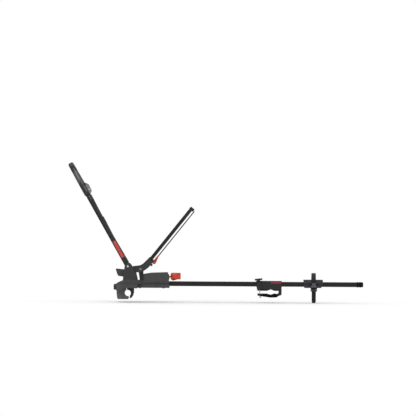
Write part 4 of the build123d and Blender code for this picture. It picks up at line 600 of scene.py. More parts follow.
class CarrierColours(bpy.types.PropertyGroup):
    """Colours of the carrier's finishes."""

    rail: bpy.props.FloatVectorProperty(
        name="Rail and bars", description="Black coat of the rail and hoop bars", subtype="COLOR",
        default=(0.0165, 0.0140, 0.0125), min=0, max=1)
    housing: bpy.props.FloatVectorProperty(
        name="Housings", description="Charcoal plastic of the head, cradle and dial", subtype="COLOR",
        default=(0.052, 0.052, 0.054), min=0, max=1)
    clamp: bpy.props.FloatVectorProperty(
        name="Clamps", description="Black plastic of the middle clamp, hook, carriage and end cap",
        subtype="COLOR", default=(0.015, 0.015, 0.016), min=0, max=1)
    claw: bpy.props.FloatVectorProperty(
        name="Claw", description="Grey plastic of the front claw", subtype="COLOR",
        default=(0.115, 0.112, 0.120), min=0, max=1)
    grey_steel: bpy.props.FloatVectorProperty(
        name="Grey steel", description="Zinc plate of the studs and crank bolts", subtype="COLOR",
        default=(0.22, 0.22, 0.22), min=0, max=1)
    tower: bpy.props.FloatVectorProperty(
        name="Towers", description="Charcoal plastic of the towers, brackets and tray", subtype="COLOR",
        default=(0.033, 0.0315, 0.0325), min=0, max=1)
    cover: bpy.props.FloatVectorProperty(
        name="Leg covers", description="Dark plastic of the leg covers", subtype="COLOR",
        default=(0.020, 0.0195, 0.0185), min=0, max=1)
    gloss: bpy.props.FloatVectorProperty(
        name="Top cover", description="Glossy plastic of the hoop's top cover", subtype="COLOR",
        default=(0.011, 0.011, 0.012), min=0, max=1)
    red: bpy.props.FloatVectorProperty(
        name="Red plastic", description="Plastic of the knob and cranks", subtype="COLOR",
        default=(0.55, 0.040, 0.017), min=0, max=1)
    film: bpy.props.FloatVectorProperty(
        name="Red panels", description="Film of the bare label panels", subtype="COLOR",
        default=(0.62, 0.052, 0.050), min=0, max=1)
    label: bpy.props.FloatVectorProperty(
        name="Middle label", description="Darker film of the middle clamp's panel", subtype="COLOR",
        default=(0.20, 0.018, 0.032), min=0, max=1)
    rubber: bpy.props.FloatVectorProperty(
        name="Rubber", description="Black rubber of the pads", subtype="COLOR",
        default=(0.010, 0.010, 0.010), min=0, max=1)
    steel: bpy.props.FloatVectorProperty(
        name="Bright steel", description="Rivets, pins, draw bolt and clamp screw", subtype="COLOR",
        default=(0.52, 0.52, 0.50), min=0, max=1)
    black_steel: bpy.props.FloatVectorProperty(
        name="Black steel", description="Black oxide of the screws, bail and hinge pin", subtype="COLOR",
        default=(0.055, 0.055, 0.057), min=0, max=1)
    lever: bpy.props.FloatVectorProperty(
        name="Lock lever", description="Grey paint of the lock lever", subtype="COLOR",
        default=(0.205, 0.205, 0.209), min=0, max=1)
    core: bpy.props.FloatVectorProperty(
        name="Lock core", description="Plated face of the lock core", subtype="COLOR",
        default=(0.70, 0.69, 0.66), min=0, max=1)
    strap: bpy.props.FloatVectorProperty(
        name="Strap", description="Black moulded strap", subtype="COLOR",
        default=(0.014, 0.014, 0.0145), min=0, max=1)
    buckle: bpy.props.FloatVectorProperty(
        name="Buckle", description="Bluish grey of the buckle", subtype="COLOR",
        default=(0.069, 0.080, 0.111), min=0, max=1)
    nylon: bpy.props.FloatVectorProperty(
        name="Nylon", description="Bushes and washers", subtype="COLOR",
        default=(0.42, 0.41, 0.37), min=0, max=1)
    brass: bpy.props.FloatVectorProperty(
        name="Brass", description="Nuts and bush of the two long screws", subtype="COLOR",
        default=(0.55, 0.38, 0.14), min=0, max=1)


class CarrierHoop(bpy.types.PropertyGroup):
    """Sizes of the front hoop's covers."""

    cover_from: bpy.props.FloatProperty(
        name="Cover start", description="Distance of the top cover's ends from the pivot",
        default=0.449, unit="LENGTH", min=0.1)
    straight: bpy.props.FloatProperty(
        name="Leg length", description="Straight run of each leg from the pivot", default=0.522,
        unit="LENGTH", min=0.1)
    slant_end: bpy.props.FloatProperty(
        name="Slant end", description="Where the hoop's slant reaches its narrow top", default=0.600,
        unit="LENGTH", min=0.1)
    top: bpy.props.FloatProperty(
        name="Hoop height", description="Middle of the top bar from the pivot", default=0.645,
        unit="LENGTH", min=0.1)
    top_half: bpy.props.FloatProperty(
        name="Half top", description="Half the width of the narrow top", default=0.024, unit="LENGTH",
        min=0.005)
    bend: bpy.props.FloatProperty(
        name="Bend", description="Radius of the hoop's wide bends", default=0.040, unit="LENGTH",
        min=0.005)
    tight_share: bpy.props.FloatProperty(
        name="Tight bend", description="Radius of the top bends as a share of the half top",
        default=0.92, subtype="FACTOR", min=0.1, max=0.98)
    cover_width: bpy.props.FloatProperty(
        name="Cover width", description="Width of the top cover across a leg", default=0.013,
        unit="LENGTH", min=0.004)
    cover_depth: bpy.props.FloatProperty(
        name="Cover depth", description="Depth of the top cover from front to back", default=0.030,
        unit="LENGTH", min=0.01)
    cover_round: bpy.props.FloatProperty(
        name="Cover corner", description="Radius of the top cover's long corners", default=0.005,
        unit="LENGTH", min=0.001)
    groove_depth: bpy.props.FloatProperty(
        name="Groove depth", description="Depth of the lengthwise grooves in the top cover",
        default=0.0018, unit="LENGTH", min=0)
    leg_width: bpy.props.FloatProperty(
        name="Leg width", description="Width of the leg covers across the carrier", default=0.010,
        unit="LENGTH", min=0.004)
    leg_round: bpy.props.FloatProperty(
        name="Leg corner", description="Radius of the leg covers' long corners", default=0.0024,
        unit="LENGTH", min=0.0005)


class CarrierKnobs(bpy.types.PropertyGroup):
    """Sizes of the knobs, dial and threads."""

    lobes: bpy.props.IntProperty(
        name="Knob lobes", description="Lobes of the red adjuster knob", default=3, min=2, max=8)
    lobe_width: bpy.props.FloatProperty(
        name="Lobe width", description="Thickness of a lobe", default=0.011, unit="LENGTH", min=0.002)
    ridge: bpy.props.FloatProperty(
        name="Ridge height", description="Height of the fine ridges on the lobes", default=0.0003,
        unit="LENGTH", min=0)
    dial_notches: bpy.props.IntProperty(
        name="Dial notches", description="Notches round the clamp dial", default=12, min=3)
    disc_notches: bpy.props.IntProperty(
        name="Disc notches", description="Notches round the middle clamp's knob", default=8, min=3)
    coarse_pitch: bpy.props.FloatProperty(
        name="Screw pitch", description="Pitch of the clamp screw and the lead screw", default=0.003,
        unit="LENGTH", min=0.0005)
    fine_pitch: bpy.props.FloatProperty(
        name="Bolt pitch", description="Pitch of the draw bolt", default=0.002, unit="LENGTH",
        min=0.0005)


class CarrierStrap(bpy.types.PropertyGroup):
    """Sizes of the toothed strap."""

    width: bpy.props.FloatProperty(
        name="Width", description="Width of the strap", default=0.023, unit="LENGTH", min=0.005)
    thickness: bpy.props.FloatProperty(
        name="Thickness", description="Thickness of the strap", default=0.0026, unit="LENGTH", min=0.001)
    half: bpy.props.FloatProperty(
        name="Half span", description="Half the distance between the strap's sides", default=0.041,
        unit="LENGTH", min=0.01)
    tooth_pitch: bpy.props.FloatProperty(
        name="Tooth pitch", description="Distance from tooth to tooth", default=0.005, unit="LENGTH",
        min=0.001)
    tooth_height: bpy.props.FloatProperty(
        name="Tooth height", description="Height of a tooth", default=0.0012, unit="LENGTH", min=0)


class CarrierStage(bpy.types.PropertyGroup):
    """Camera and lights."""

    distance: bpy.props.FloatProperty(
        name="Camera distance", description="Distance of the camera from the carrier's middle plane",
        default=16.0, unit="LENGTH", min=1)
    frame_width: bpy.props.FloatProperty(
        name="Frame width", description="Width of the photograph at the carrier's middle plane",
        default=2.288, unit="LENGTH", min=0.1)
    middle_x: bpy.props.FloatProperty(
        name="Middle X", description="Place along the rail at the middle of the photograph",
        default=0.438, unit="LENGTH")
    middle_z: bpy.props.FloatProperty(
        name="Middle Z", description="Height at the middle of the photograph", default=0.470,
        unit="LENGTH")
    roll: bpy.props.FloatProperty(
        name="Roll", description="Turn of the camera about its own axis", default=-0.0061,
        subtype="ANGLE")
    world_light: bpy.props.FloatProperty(
        name="World light", description="Strength of the plain light from all round", default=0.6,
        min=0)
    key_power: bpy.props.FloatProperty(
        name="Key light", description="Power of the large lamp above the front", default=84.0, min=0)


GROUPS = {
    "carrier_colours": CarrierColours, "carrier_hoop": CarrierHoop, "carrier_knobs": CarrierKnobs,
    "carrier_strap": CarrierStrap, "carrier_stage": CarrierStage,
}


# Operators


class CARRIER_OT_finishes(bpy.types.Operator):
    """Make every finish and give each CAD node the one that it takes"""

    bl_idname = "carrier.finishes"
    bl_label = "Finishes"

    def execute(self, context):
        tone = context.scene.carrier_colours
        coated_tube("rail_black", tone.rail)
        moulded("housing_black", tone.housing)
        moulded("shell_black", shade(tone.housing, 1.12), shoulder=(0.076, 0.027, 0.008))
        moulded("clamp_black", tone.clamp, low=0.38, high=0.55)
        moulded("cap_black", shade(tone.clamp, 0.35), low=0.3, high=0.45, specular=0.08)
        moulded("knob_black", shade(tone.clamp, 1.5), low=0.5, high=0.62, specular=0.22)
        # The jaw's finish is the clamps' black darkened to a fifth: painted shade for the jaw, which faces
        # down under the clamp
        moulded("jaw_painted_shade", shade(tone.clamp, 0.2), low=0.45, high=0.6, specular=0.07, wear=0.15)
        moulded("claw_grey", tone.claw)
        moulded("tower_grey", tone.tower, low=0.36, high=0.52)
        moulded("cover_grey", tone.cover, low=0.34, high=0.5)
        # The top cover is painted up to 15 times paler along its grooves: a painted highlight
        moulded("cover_gloss", tone.gloss, low=0.26, high=0.36, grit=0.00002, specular=0.4, coat=0.12,
                painted_highlight=15)
        moulded("red_plastic", tone.red, spark=0.08, low=0.3, high=0.45, grit=0.00003, specular=0.4,
                wear=0.2)
        printed_film("red_film", tone.film)
        printed_film("dark_film", tone.label)
        rubber("rubber_black", tone.rubber, rib_scale=160)
        metal("steel_bright", tone.steel, low=0.18, high=0.34)
        metal("steel_grey", tone.grey_steel, low=0.26, high=0.42)
        metal("steel_black", tone.black_steel, low=0.35, high=0.5)
        moulded("lever_grey", tone.lever, spark=0.06, low=0.28, high=0.42, grit=0.00002, wear=0.3)
        metal("core_metal", tone.core, low=0.15, high=0.28)
        webbing("strap_black", tone.strap)
        moulded("buckle_blue", tone.buckle, low=0.3, high=0.46)
        moulded("buckle_dark", shade(tone.buckle, 0.22), low=0.36, high=0.5)
        moulded("nylon_pale", tone.nylon, spark=0.04, wear=0.1)
        metal("brass", tone.brass, low=0.2, high=0.38)
        finish_of = {name: finish for finish, names in NODES_BY_FINISH.items() for name in names}
        for name, finish in finish_of.items():
            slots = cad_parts[name].data.materials
            slots.clear()
            slots.append(bpy.data.materials["carrier_" + finish])
        left = set(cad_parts) - set(finish_of)
        if left:
            raise RuntimeError("no finish for " + ", ".join(sorted(left)))
        return {"FINISHED"}


class CARRIER_OT_top_cover(bpy.types.Operator):
    """Build the glossy cover round the hoop's top, with its grooves, seam and lever ears"""

    bl_idname = "carrier.top_cover"
    bl_label = "Top cover"

    def execute(self, context):
        hoop = context.scene.carrier_hoop
        # A rounded rectangle carried up one leg, over the top and down the other
        near = [(hoop.cover_from, -LEG_MID), (hoop.straight, -LEG_MID), (hoop.slant_end, -hoop.top_half),
                (hoop.top, -hoop.top_half)]
        flat = np.array(near + [(up, -across) for up, across in reversed(near)])
        tight = hoop.top_half * hoop.tight_share
        route = bent_route(flat, (hoop.bend, hoop.bend, tight, tight, hoop.bend, hoop.bend))
        edge, pitch = 0.0012, 0.0026
        length = length_of(route)
        at = spread(length, edge, pitch)
        route = along_route(route, at)
        up = route[:, :1]
        outline = rounded_outline(hoop.cover_width, hoop.cover_depth, hoop.cover_round, steps=8)[0]
        outline = evenly(outline, count=168)
        a, b = outline[:, 0], outline[:, 1]
        outward = a / (hoop.cover_width / 2)
        # Two grooves down each side, one above the other: a long slope to the back and a short one up again.
        # Each has its middle and width from front to back, and its start and end along the hoop
        grooves = ((-0.0025, 0.0058, 0.538, 0.622), (-0.0068, 0.0050, 0.462, 0.534))
        run_out, steepness = 0.012, 4
        side = ease((np.abs(outward) - 0.8) / 0.15) * np.sign(a)
        cut, painted_highlight = 0.0, 0.0
        for middle, wide, start, end in grooves:
            u = (middle + wide / 2 - b) / wide
            slope = ease(np.minimum(u, 1 - (u - 1) * steepness))
            window = ease((up - start) / run_out) * ease((end - up) / run_out)
            cut = cut + hoop.groove_depth * window * slope * side
            # Painted highlight: a paler band across each groove, standing in for the lamp's gloss on its
            # slope
            painted_highlight = painted_highlight + window * ease(u * 5) * ease((1.1 - u) * 5) * np.abs(side)
        # Seam along the middle of each side: a fine line pressed in as a bell curve
        seam_at, seam_wide, seam_deep = 0.004, 0.00035, 0.0005
        seam = np.exp(-(((b - seam_at) / seam_wide) ** 2)) * seam_deep * np.sign(a)
        shrink = 1 - end_inset(at, length, edge)[:, None] / (hoop.cover_width / 2)
        # The narrow top is crowned: its outer side is less deep from front to back
        crown_from, crown_run, crown_share = 0.612, 0.02, 0.16
        crown = ease((up - crown_from) / crown_run) * np.clip(0.4 - outward, 0, 1.4) ** 2
        profile = np.stack([(a - cut - seam) * shrink, b * shrink * (1 - crown_share * crown)], axis=-1)
        front = np.array((-sin(HOOP_TILT), 0, cos(HOOP_TILT)))
        line = on_hoop(route[:, 0], route[:, 1], np.full(len(route), COVER_SHIFT))
        surfaces = [carried(line, front, profile)]
        # Ears of the lock lever's pin, one on each side of the lever
        pin_up, foot = LEVER_PIN[0], COVER_BACK + 0.007
        ear_r, ear_gap, ear_thick, corner = 0.005, 0.00405, 0.0022, 0.0006
        centres = [LEVER_PIN, (pin_up - 0.0075, foot), (pin_up + 0.0085, foot)]
        for low in (ear_gap - LEG_MID, -ear_gap - ear_thick - LEG_MID):
            ear = plate(centres, (ear_r, corner, corner), low, low + ear_thick, edge=0.0005, steps=72)
            surfaces.append(on_leg(ear))
        stands_for = ("top_cover_front", "top_cover_back")
        cover = make("top_cover", surfaces, "cover_gloss", "front_hoop", stands_for)
        # The painted highlight's share goes on the mesh as an attribute, one value for each point of the
        # cover (the ears get none)
        shares = np.zeros(len(cover.data.vertices))
        shares[:painted_highlight.size] = painted_highlight.ravel()
        cover.data.attributes.new("painted_highlight", "FLOAT", "POINT").data.foreach_set("value", shares)
        return {"FINISHED"}


class CARRIER_OT_leg_covers(bpy.types.Operator):
    """Build the covers clipped over the two legs in three lengths"""

    bl_idname = "carrier.leg_covers"
    bl_label = "Leg covers"

    def execute(self, context):
        hoop = context.scene.carrier_hoop
        # A rounded rectangle carried up each leg, its back moved by a smooth step. Each cover has its ends
        # along the leg, its back at the lower and the upper end, and its front
        stretches = (
            ("lower", 0.016, 0.186, -0.013, -0.010, 0.012),
            ("middle", 0.1872, 0.307, -0.010, -0.013, 0.0055),
            ("upper", 0.3082, 0.447, -0.010, -0.013, 0.0055),
        )
        edge, pitch = 0.0011, 0.0012
        notch_up, notch_wide, notch_deep = 0.412, 0.0008, 0.0007
        for name, low, high, back_low, back_high, front in stretches:
            at = spread(high - low, edge, pitch)
            inset = end_inset(at, high - low, edge)
            back = back_low + (back_high - back_low) * ease(at / (high - low))
            notch = notch_deep * np.exp(-(((at + low - notch_up) / notch_wide) ** 2))
            width = hoop.leg_width - 2 * inset - 2 * notch
            outline = rounded_outline(width, front - back - 2 * inset, hoop.leg_round - inset * 0.5)
            surfaces = []
            for across in (-LEG_MID, LEG_MID):
                out = outline[..., 1] + ((front + back) / 2)[:, None]
                up = np.broadcast_to((low + at)[:, None], out.shape)
                surfaces.append(on_hoop(up, across + outline[..., 0], out))
            cover = "leg_covers_" + name
            make(cover + "_moulded", surfaces, "cover_grey", "front_hoop", (cover,))
        return {"FINISHED"}


class CARRIER_OT_leg_screws(bpy.types.Operator):
    """Build the small screws that close each leg's upper cover"""

    bl_idname = "carrier.leg_screws"
    bl_label = "Leg screws"

    def execute(self, context):
        head = screw_head(radius=0.0027, height=0.0009, drive="cross", reach=0.0012, steps=48)
        outer_side = -LEG_MID - context.scene.carrier_hoop.leg_width / 2
        surfaces = []
        for up in (0.4235, 0.4365):
            surfaces += both_sides(head, on_hoop(up, outer_side, -0.0035))
        make("leg_screws", surfaces, "steel_grey", "front_hoop")
        return {"FINISHED"}


class CARRIER_OT_lock(bpy.types.Operator):
    """Build the lock lever and the slotted face of its core"""

    bl_idname = "carrier.lock"
    bl_label = "Lock lever and core"

    def execute(self, context):
        # Lever: corners in shares of its span up from its lower end and of its depth out from the cover
        low, span, depth, half = 0.451, 0.05762, 0.018, 0.0038
        shares = ((0.86, 0.93), (0.73, 1), (0.2, 0.93), (0.07, 0.78), (0, 0.38), (0, 0.03), (0.72, 0.03))
        corner, pin_boss, rim = 0.0016, 0.0045, 0.0011
        points = np.array([(low + u * span, COVER_BACK - v * depth) for u, v in shares])
        inward = points.mean(0) - points
        points = points + inward * corner / np.linalg.norm(inward, axis=1)[:, None]
        centres = np.concatenate([[LEVER_PIN], points])
        radii = [pin_boss] + [corner] * len(points)
        lever = plate(centres, radii, -LEG_MID - half, -LEG_MID + half, rim, steps=120)
        make("lock_lever_body", [on_leg(lever)], "lever_grey", "hoop_lock", ("lock_lever",))
        # Core: the slotted head alone, sunk in the lever's near side
        core_up, core_r, core_long, sunk = 0.472, 0.0056, 0.0055, 0.00494
        seat = on_hoop(core_up, -LEG_MID - half + sunk, COVER_BACK - depth * 0.48)
        core = screw_head(core_r, core_long, "slot", core_r)[2:]
        core = placed(core, seat, AXIS_X, AXIS_Z, -AXIS_Y)
        make("lock_core_face", [core], "core_metal", "key_core", ("lock_core",))
        return {"FINISHED"}


class CARRIER_OT_adjust_knob(bpy.types.Operator):
    """Build the red lobed knob that sets the rear hoop's carriage"""

    bl_idname = "carrier.adjust_knob"
    bl_label = "Adjuster knob"

    def execute(self, context):
        knobs = context.scene.carrier_knobs
        low, high = corners("adjust_knob")
        length = high[0] - low[0]
        reach = high[2] - LEAD_SCREW_Z
        x = spread(length, edge=0.004, pitch=0.0006)
        t = np.linspace(0, 2 * pi, 216, endpoint=False)
        share = (x / length)[:, None]
        # Core: a round body narrower at both ends, its radii in shares of the reach
        core = reach * np.interp(share, (0, 0.2, 0.3, 0.97, 1), (0.55, 0.92, 0.92, 0.4, 0.34))
        # Lobe: a bar with a round end, as a polar radius about the knob's axis
        turn = 2 * pi / knobs.lobes
        phi = np.abs(np.mod(t + turn / 2, turn) - turn / 2) + 1e-6
        half = knobs.lobe_width / 2
        centre = reach - half
        flank = half / np.sin(phi)
        round_end = centre * np.cos(phi) + np.sqrt(np.clip(half**2 - (centre * np.sin(phi)) ** 2, 0, None))
        lobe = np.where(phi < np.arctan2(half, centre), round_end, flank)
        ridge_pitch = 0.0036
        ridges = knobs.ridge * np.cos(2 * pi * x / ridge_pitch)[:, None] * ease((lobe / reach - 0.8) / 0.1)
        joined = blended(core, lobe - knobs.ridge + ridges, 10)
        # Rim: the round outline that holds the lobes in at both ends
        rim = reach * np.interp(share, (0, 0.09, 0.93, 1), (0.72, 1.0, 1.0, 0.86))
        r = blended(joined, rim - end_inset(x, length, edge=0.0012)[:, None], -16.0)
        points = np.stack([x[:, None] + 0 * r, r * np.sin(t), r * np.cos(t)], axis=-1)
        points = points + np.array((low[0], 0, LEAD_SCREW_Z))
        make("adjust_knob_grip", [points], "red_plastic", "knob", ("adjust_knob",))
        return {"FINISHED"}


class CARRIER_OT_dials(bpy.types.Operator):
    """Build the clamp dial on the nose and the notched knob of the middle clamp"""

    bl_idname = "carrier.dials"
    bl_label = "Dial and disc knob"

    def execute(self, context):
        knobs = context.scene.carrier_knobs
        low, high = corners("clamp_dial")
        radius, thick = (high[1] - low[1]) / 2, high[0] - low[0]
        middle = (low + high) / 2
        hub_rise = 0.0004
        dial = notched_disc(
            radius=radius, thickness=thick - 2 * hub_rise, edge=0.0022, front=0.0048, hub_r=0.0058,
            hub_h=hub_rise, notches=knobs.dial_notches, place=radius, size=0.0022)
        dial = placed(dial, middle, AXIS_Y, AXIS_Z, -AXIS_X)
        make("clamp_dial_grip", [dial], "housing_black", "dial", ("clamp_dial",))
        disc = notched_disc(
            radius=0.021, thickness=0.0096, edge=0.0022, front=0.0022, hub_r=0.0052, hub_h=0.0,
            notches=knobs.disc_notches, place=0.02226, size=0.00336)
        raised = 0.0004
        disc = placed(disc, BOLT_TOP + BOLT_UP * raised, BOLT_LEVEL, AXIS_Y, BOLT_UP)
        make("mid_knob_grip", [disc], "knob_black", "bolt_knob", ("mid_knob",))
        return {"FINISHED"}


class CARRIER_OT_fasteners(bpy.types.Operator):
    """Build the rivets, studs, bolts and screws with their real heads"""

    bl_idname = "carrier.fasteners"
    bl_label = "Rivets and screws"

    def execute(self, context):
        # Rivets of the front hoop: a flange inside, a shank through the tower and a domed head outside
        rivet_radii = (0.0088, 0.009, 0.009, 0.006, 0.006, 0.0055, 0.0052, 0.0042, 0.0025, 0.0006)
        rivet_heights = (0, 0.0003, 0.0016, 0.0016, 0.0186, 0.0186, 0.0193, 0.01985, 0.02015, 0.0202)
        rivet = turned(rivet_radii, rivet_heights, steps=64)
        outer = corners("hoop_rivets")[1][1] - rivet_heights[-1]
        rivets = both_sides(rivet, (HOOP_PIVOT[0], -outer, HOOP_PIVOT[2]))
        make("hoop_rivets_domed", rivets, "steel_bright", "head_and_rail", ("hoop_rivets",))
        # Studs of the rear hoop's pivot and bolts of the bail cranks: each has its head's and its shank's
        # radius, its steps round, the place where the shank ends inside, and its axis
        height = 0.0014
        crank_axis = on_rear(0.0749, 0, -0.0354)
        for name, radius, shank, steps, inner, axis, body in (
            ("pivot_studs", 0.0065, 0.005, 72, 0.040, REAR_PIVOT, "hoop_carriage"),
            ("crank_bolts", 0.0042, 0.003, 60, 0.0404, crank_axis, "rear_hoop"),
        ):
            outer = corners(name)[1][1] - height
            head = screw_head(radius, height, "hexagon", shank, steps)
            head[0, :, 2] = inner - outer
            bolts = both_sides(head, (axis[0], -outer, axis[2]))
            make(name + "_turned", bolts, "steel_grey", body, (name,))
        # Screws of the towers' feet and the cradle's with longer shanks, at shares of what they hold down
        tower_from, tower_long, tower_y, tower_z = -0.026, 0.0785, 0.0635, 0.0767
        cradle_from, cradle_long, cradle_z, cradle_shank = -0.067, 0.113, 0.0952, 0.0235
        head = screw_head(radius=0.0046, height=0.0024, drive="cross", reach=0.0025, steps=48)
        surfaces = []
        for share in (0.18, 0.82):
            for y in (-tower_y, tower_y):
                spot = (tower_from + share * tower_long, y, tower_z)
                surfaces.append(placed(head, spot, AXIS_X, AXIS_Y, AXIS_Z))
        head[0, :, 2] = -cradle_shank
        for share in (0.45, 0.92):
            spot = (cradle_from + share * cradle_long, 0, cradle_z)
            surfaces.append(placed(head, spot, AXIS_X, AXIS_Y, AXIS_Z))
        make("head_screws_cross", surfaces, "steel_black", "head_and_rail", ("head_screws",))
        return {"FINISHED"}


class CARRIER_OT_threads(bpy.types.Operator):
    """Build the threaded clamp screw, lead screw and draw bolt"""

    bl_idname = "carrier.threads"
    bl_label = "Threaded rods"

    def execute(self, context):
        knobs = context.scene.carrier_knobs
        rod = level_rod("clamp_screw", CLAMP_SCREW_Z, knobs.coarse_pitch)
        make("clamp_screw_thread", [rod], "steel_bright", "dial", ("clamp_screw",))
        rod = level_rod("lead_screw", LEAD_SCREW_Z, knobs.coarse_pitch)
        collar = bevelled(radius=0.008, low=0.208, high=0.2135)
        collar = placed(collar, (0, 0, LEAD_SCREW_Z), AXIS_Y, AXIS_Z, AXIS_X)
        make("lead_screw_thread", [rod, collar], "steel_black", "knob", ("lead_screw",))
        # Draw bolt: it leans, and its barrel nut is at its foot
        length, in_knob = 0.0963, 0.0035
        foot = BOLT_TOP - BOLT_UP * length
        rod = thread(radius=0.003, depth=0.0005, pitch=knobs.fine_pitch, length=length - in_knob)
        rod = placed(rod, foot, BOLT_LEVEL, AXIS_Y, BOLT_UP)
        barrel = placed(bevelled(radius=0.006, low=-0.008, high=0.008), foot, AXIS_X, AXIS_Z, AXIS_Y)
        make("mid_bolt_thread", [rod, barrel], "steel_bright", "draw_bolt", ("mid_bolt",))
        return {"FINISHED"}


class CARRIER_OT_strap(bpy.types.Operator):
    """Build the toothed strap that arches over the wheel tray"""

    bl_idname = "carrier.strap"
    bl_label = "Strap"

    def execute(self, context):
        sizes = context.scene.carrier_strap
        low, high = corners("strap")
        # A rounded rectangle carried up from the tail, round a half circle and down to the foot
        bend = high[2] - sizes.thickness / 2 - sizes.half
        tail, foot = low[2], 0.047
        arc = np.linspace(pi, 0, 60)
        route = np.concatenate([
            [(-sizes.half, tail)],
            np.stack([sizes.half * np.cos(arc), bend + sizes.half * np.sin(arc)], axis=-1),
            [(sizes.half, foot)],
        ])
        edge, pitch = 0.0008, 0.0006
        at = spread(length_of(route), edge, pitch)
        flat = along_route(route, at)
        way = np.gradient(flat, axis=0)
        way = way / np.linalg.norm(way, axis=1)[:, None]
        outward = np.stack([-way[:, 1], way[:, 0]], axis=-1)
        # Width: full, but round at the tail
        round_r = sizes.width * 0.45
        t = np.clip(1 - at / round_r, 0, 1)
        half = sizes.width / 2 - round_r * (1 - np.sqrt(1 - t * t))
        outline = evenly(rounded_outline(sizes.width, sizes.thickness, edge, steps=4)[0], count=64)
        a = outline[:, 0] * (half / (sizes.width / 2))[:, None]
        # Teeth: on the outer face only, between the tail and the bend, and not across the full width
        tooth_long, ramp, side_ramp = 0.0024, 0.0005, 0.0006
        outer = ease(outline[:, 1] / sizes.thickness + 0.5)
        first = sizes.width * 0.6
        last = bend - tail - sizes.width * 0.4
        phase = np.mod(at - first, sizes.tooth_pitch)
        rise = ease(phase / ramp) * ease((tooth_long - phase) / ramp)
        rise = rise * (at > first) * (at < last)
        middle = ease((sizes.width * 0.36 - np.abs(outline[:, 0])) / side_ramp + 0.5)
        b = outline[:, 1] + outer * sizes.tooth_height * rise[:, None] * middle
        points = np.stack([
            STRAP_X + a,
            flat[:, :1] + outward[:, :1] * b,
            flat[:, 1:] + outward[:, 1:] * b,
        ], axis=-1)
        make("strap_toothed", [points], "strap_black", "tray", ("strap",))
        return {"FINISHED"}


class CARRIER_OT_end_cap(bpy.types.Operator):
    """Build the rail's end cap with its shallow bands"""

    bl_idname = "carrier.end_cap"
    bl_label = "End cap"

    def execute(self, context):
        # A rounded rectangle carried along X, wider in two bands and rounded at its outer end
        low, high = corners("rail_end_cap")
        length = high[0] - low[0]
        edge, pitch, corner = 0.006, 0.0006, 0.0056
        band_half, band_ramp, band_rise = 0.003, 0.0008, 0.0007
        at = spread(length, edge, pitch)
        band = sum(ease((band_half - np.abs(at - place)) / band_ramp + 0.5) for place in (0.0055, 0.0205))
        inset = end_inset(at, length, edge) * (at > length / 2) + band_rise * (1 - band)
        width, height = high[1] - low[1], high[2] - low[2]
        outline = rounded_outline(width - 2 * inset, height - 2 * inset, corner, steps=8)
        middle = (low + high) / 2
        x = np.broadcast_to((low[0] + at)[:, None], outline.shape[:2])
        points = np.stack([x, outline[..., 0] + middle[1], outline[..., 1] + middle[2]], axis=-1)
        make("rail_end_cap_banded", [points], "cap_black", "head_and_rail", ("rail_end_cap",))
        return {"FINISHED"}


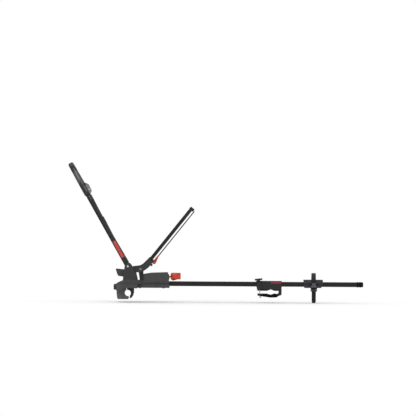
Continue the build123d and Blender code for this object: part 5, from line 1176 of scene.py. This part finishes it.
class CARRIER_OT_stage(bpy.types.Operator):
    """Set the floor, the light, the white background and the camera"""

    bl_idname = "carrier.stage"
    bl_label = "Stage"

    def execute(self, context):
        settings = context.scene.carrier_stage
        scene = context.scene
        scene.view_settings.view_transform = "Standard"
        # Floor, just under the lowest point of the carrier: it shows its own colour and the shadow in an
        # oval round the middle, and fades to the white of the background further out
        level, reach = cad_low.z - 0.001, 30.0
        oval, fade_from, fade_to = (1.05, 0.5, 1.0), 0.45, 1.1
        mesh = bpy.data.meshes.new("floor")
        rim = [(x * reach, y * reach, level) for x, y in ((-1, -1), (1, -1), (1, 1), (-1, 1))]
        mesh.from_pydata(rim, [], [(0, 1, 2, 3)])
        floor = bpy.data.objects.new("floor", mesh)
        scene.collection.objects.link(floor)
        tree, shader = blank("pale_floor")
        shader.inputs["Base Color"].default_value = (0.93, 0.93, 0.93, 1)
        shader.inputs["Roughness"].default_value = 0.9
        shader.inputs["Specular IOR Level"].default_value = 0.0
        middle = (cad_low + cad_high) / 2
        offset = node(tree, "ShaderNodeMapping", {"vector_type": "TEXTURE"}, Vector=places_of(tree),
                      Location=(middle.x, middle.y, level), Scale=oval)
        away = node(tree, "ShaderNodeVectorMath", {"operation": "LENGTH"}, i0=offset.outputs[0])
        far = ranged(tree, away.outputs["Value"], fade_from, fade_to, 0, 1)
        share = maths(tree, "MULTIPLY", far, seen_rays(tree))
        white = node(tree, "ShaderNodeEmission", Color=(1, 1, 1, 1), Strength=1.0)
        both = node(tree, "ShaderNodeMixShader", i0=share, i1=shader.outputs[0], i2=white.outputs[0])
        tree.links.new(both.outputs[0], tree.nodes["Material Output"].inputs["Surface"])
        mesh.materials.append(bpy.data.materials["carrier_pale_floor"])
        # World: plain white to the eye and in reflections, softer as light
        world = bpy.data.worlds.new("studio")
        world.use_nodes = True
        scene.world = world
        tree = world.node_tree
        tree.nodes.clear()
        light = node(tree, "ShaderNodeBackground", Color=(1, 1, 1, 1), Strength=settings.world_light)
        white = node(tree, "ShaderNodeBackground", Color=(1, 1, 1, 1), Strength=1.0)
        seen = seen_rays(tree)
        both = node(tree, "ShaderNodeMixShader", i0=seen, i1=light.outputs[0], i2=white.outputs[0])
        node(tree, "ShaderNodeOutputWorld", Surface=both.outputs[0])
        # Lamps, all turned to the carrier's middle
        for name, spot, size, power in (
            ("key_lamp", (-0.8, -1.9, 4.4), 3.0, settings.key_power),
            ("fill_lamp", (3.6, -1.6, 3.4), 2.4, settings.key_power * 0.3),
            ("back_lamp", (0.4, 3.0, 3.6), 2.4, settings.key_power * 0.3),
        ):
            lamp = bpy.data.lights.new(name, "AREA")
            lamp.shape, lamp.size, lamp.energy = "SQUARE", size, power
            holder = bpy.data.objects.new(name, lamp)
            scene.collection.objects.link(holder)
            holder.location = spot
            holder.rotation_mode = "QUATERNION"
            holder.rotation_quaternion = (middle - holder.location).to_track_quat("-Z", "Y")
        # Camera square to the carrier's side, as the photograph was taken
        lens = bpy.data.cameras.new("photo_camera")
        lens.sensor_width = 36.0
        lens.lens = lens.sensor_width * settings.distance / settings.frame_width
        lens.clip_end = 100.0
        camera = bpy.data.objects.new("photo_camera", lens)
        scene.collection.objects.link(camera)
        camera.location = (settings.middle_x, -settings.distance, settings.middle_z)
        camera.rotation_euler = (pi / 2, settings.roll, 0)
        scene.camera = camera
        return {"FINISHED"}


OPERATORS = (
    CARRIER_OT_finishes, CARRIER_OT_top_cover, CARRIER_OT_leg_covers, CARRIER_OT_leg_screws, CARRIER_OT_lock,
    CARRIER_OT_adjust_knob, CARRIER_OT_dials, CARRIER_OT_fasteners, CARRIER_OT_threads, CARRIER_OT_strap,
    CARRIER_OT_end_cap, CARRIER_OT_stage,
)


class CARRIER_PT_panel(bpy.types.Panel):
    """Sidebar panel with the carrier's settings and operators"""

    bl_label = "Bike carrier"
    bl_idname = "CARRIER_PT_panel"
    bl_space_type = "VIEW_3D"
    bl_region_type = "UI"
    bl_category = "Carrier"

    def draw(self, context):
        layout = self.layout
        for name, group in GROUPS.items():
            box = layout.box()
            box.label(text=group.__doc__)
            for setting in group.__annotations__:
                box.prop(getattr(context.scene, name), setting)
        for operator in OPERATORS:
            layout.operator(operator.bl_idname)


def register():
    """Register the settings, the operators and the panel."""
    for group in GROUPS.values():
        bpy.utils.register_class(group)
    for name, group in GROUPS.items():
        setattr(bpy.types.Scene, name, bpy.props.PointerProperty(type=group))
    for operator in OPERATORS:
        bpy.utils.register_class(operator)
    bpy.utils.register_class(CARRIER_PT_panel)


def unregister():
    """Take the panel, the operators and the settings away again."""
    bpy.utils.unregister_class(CARRIER_PT_panel)
    for operator in reversed(OPERATORS):
        bpy.utils.unregister_class(operator)
    for name in GROUPS:
        delattr(bpy.types.Scene, name)
    for group in reversed(GROUPS.values()):
        bpy.utils.unregister_class(group)


def main():
    """Register and run the operators in order."""
    register()
    for operator in OPERATORS:
        family, action = operator.bl_idname.split(".")
        getattr(getattr(bpy.ops, family), action)()


if __name__ == "__main__":
    main()
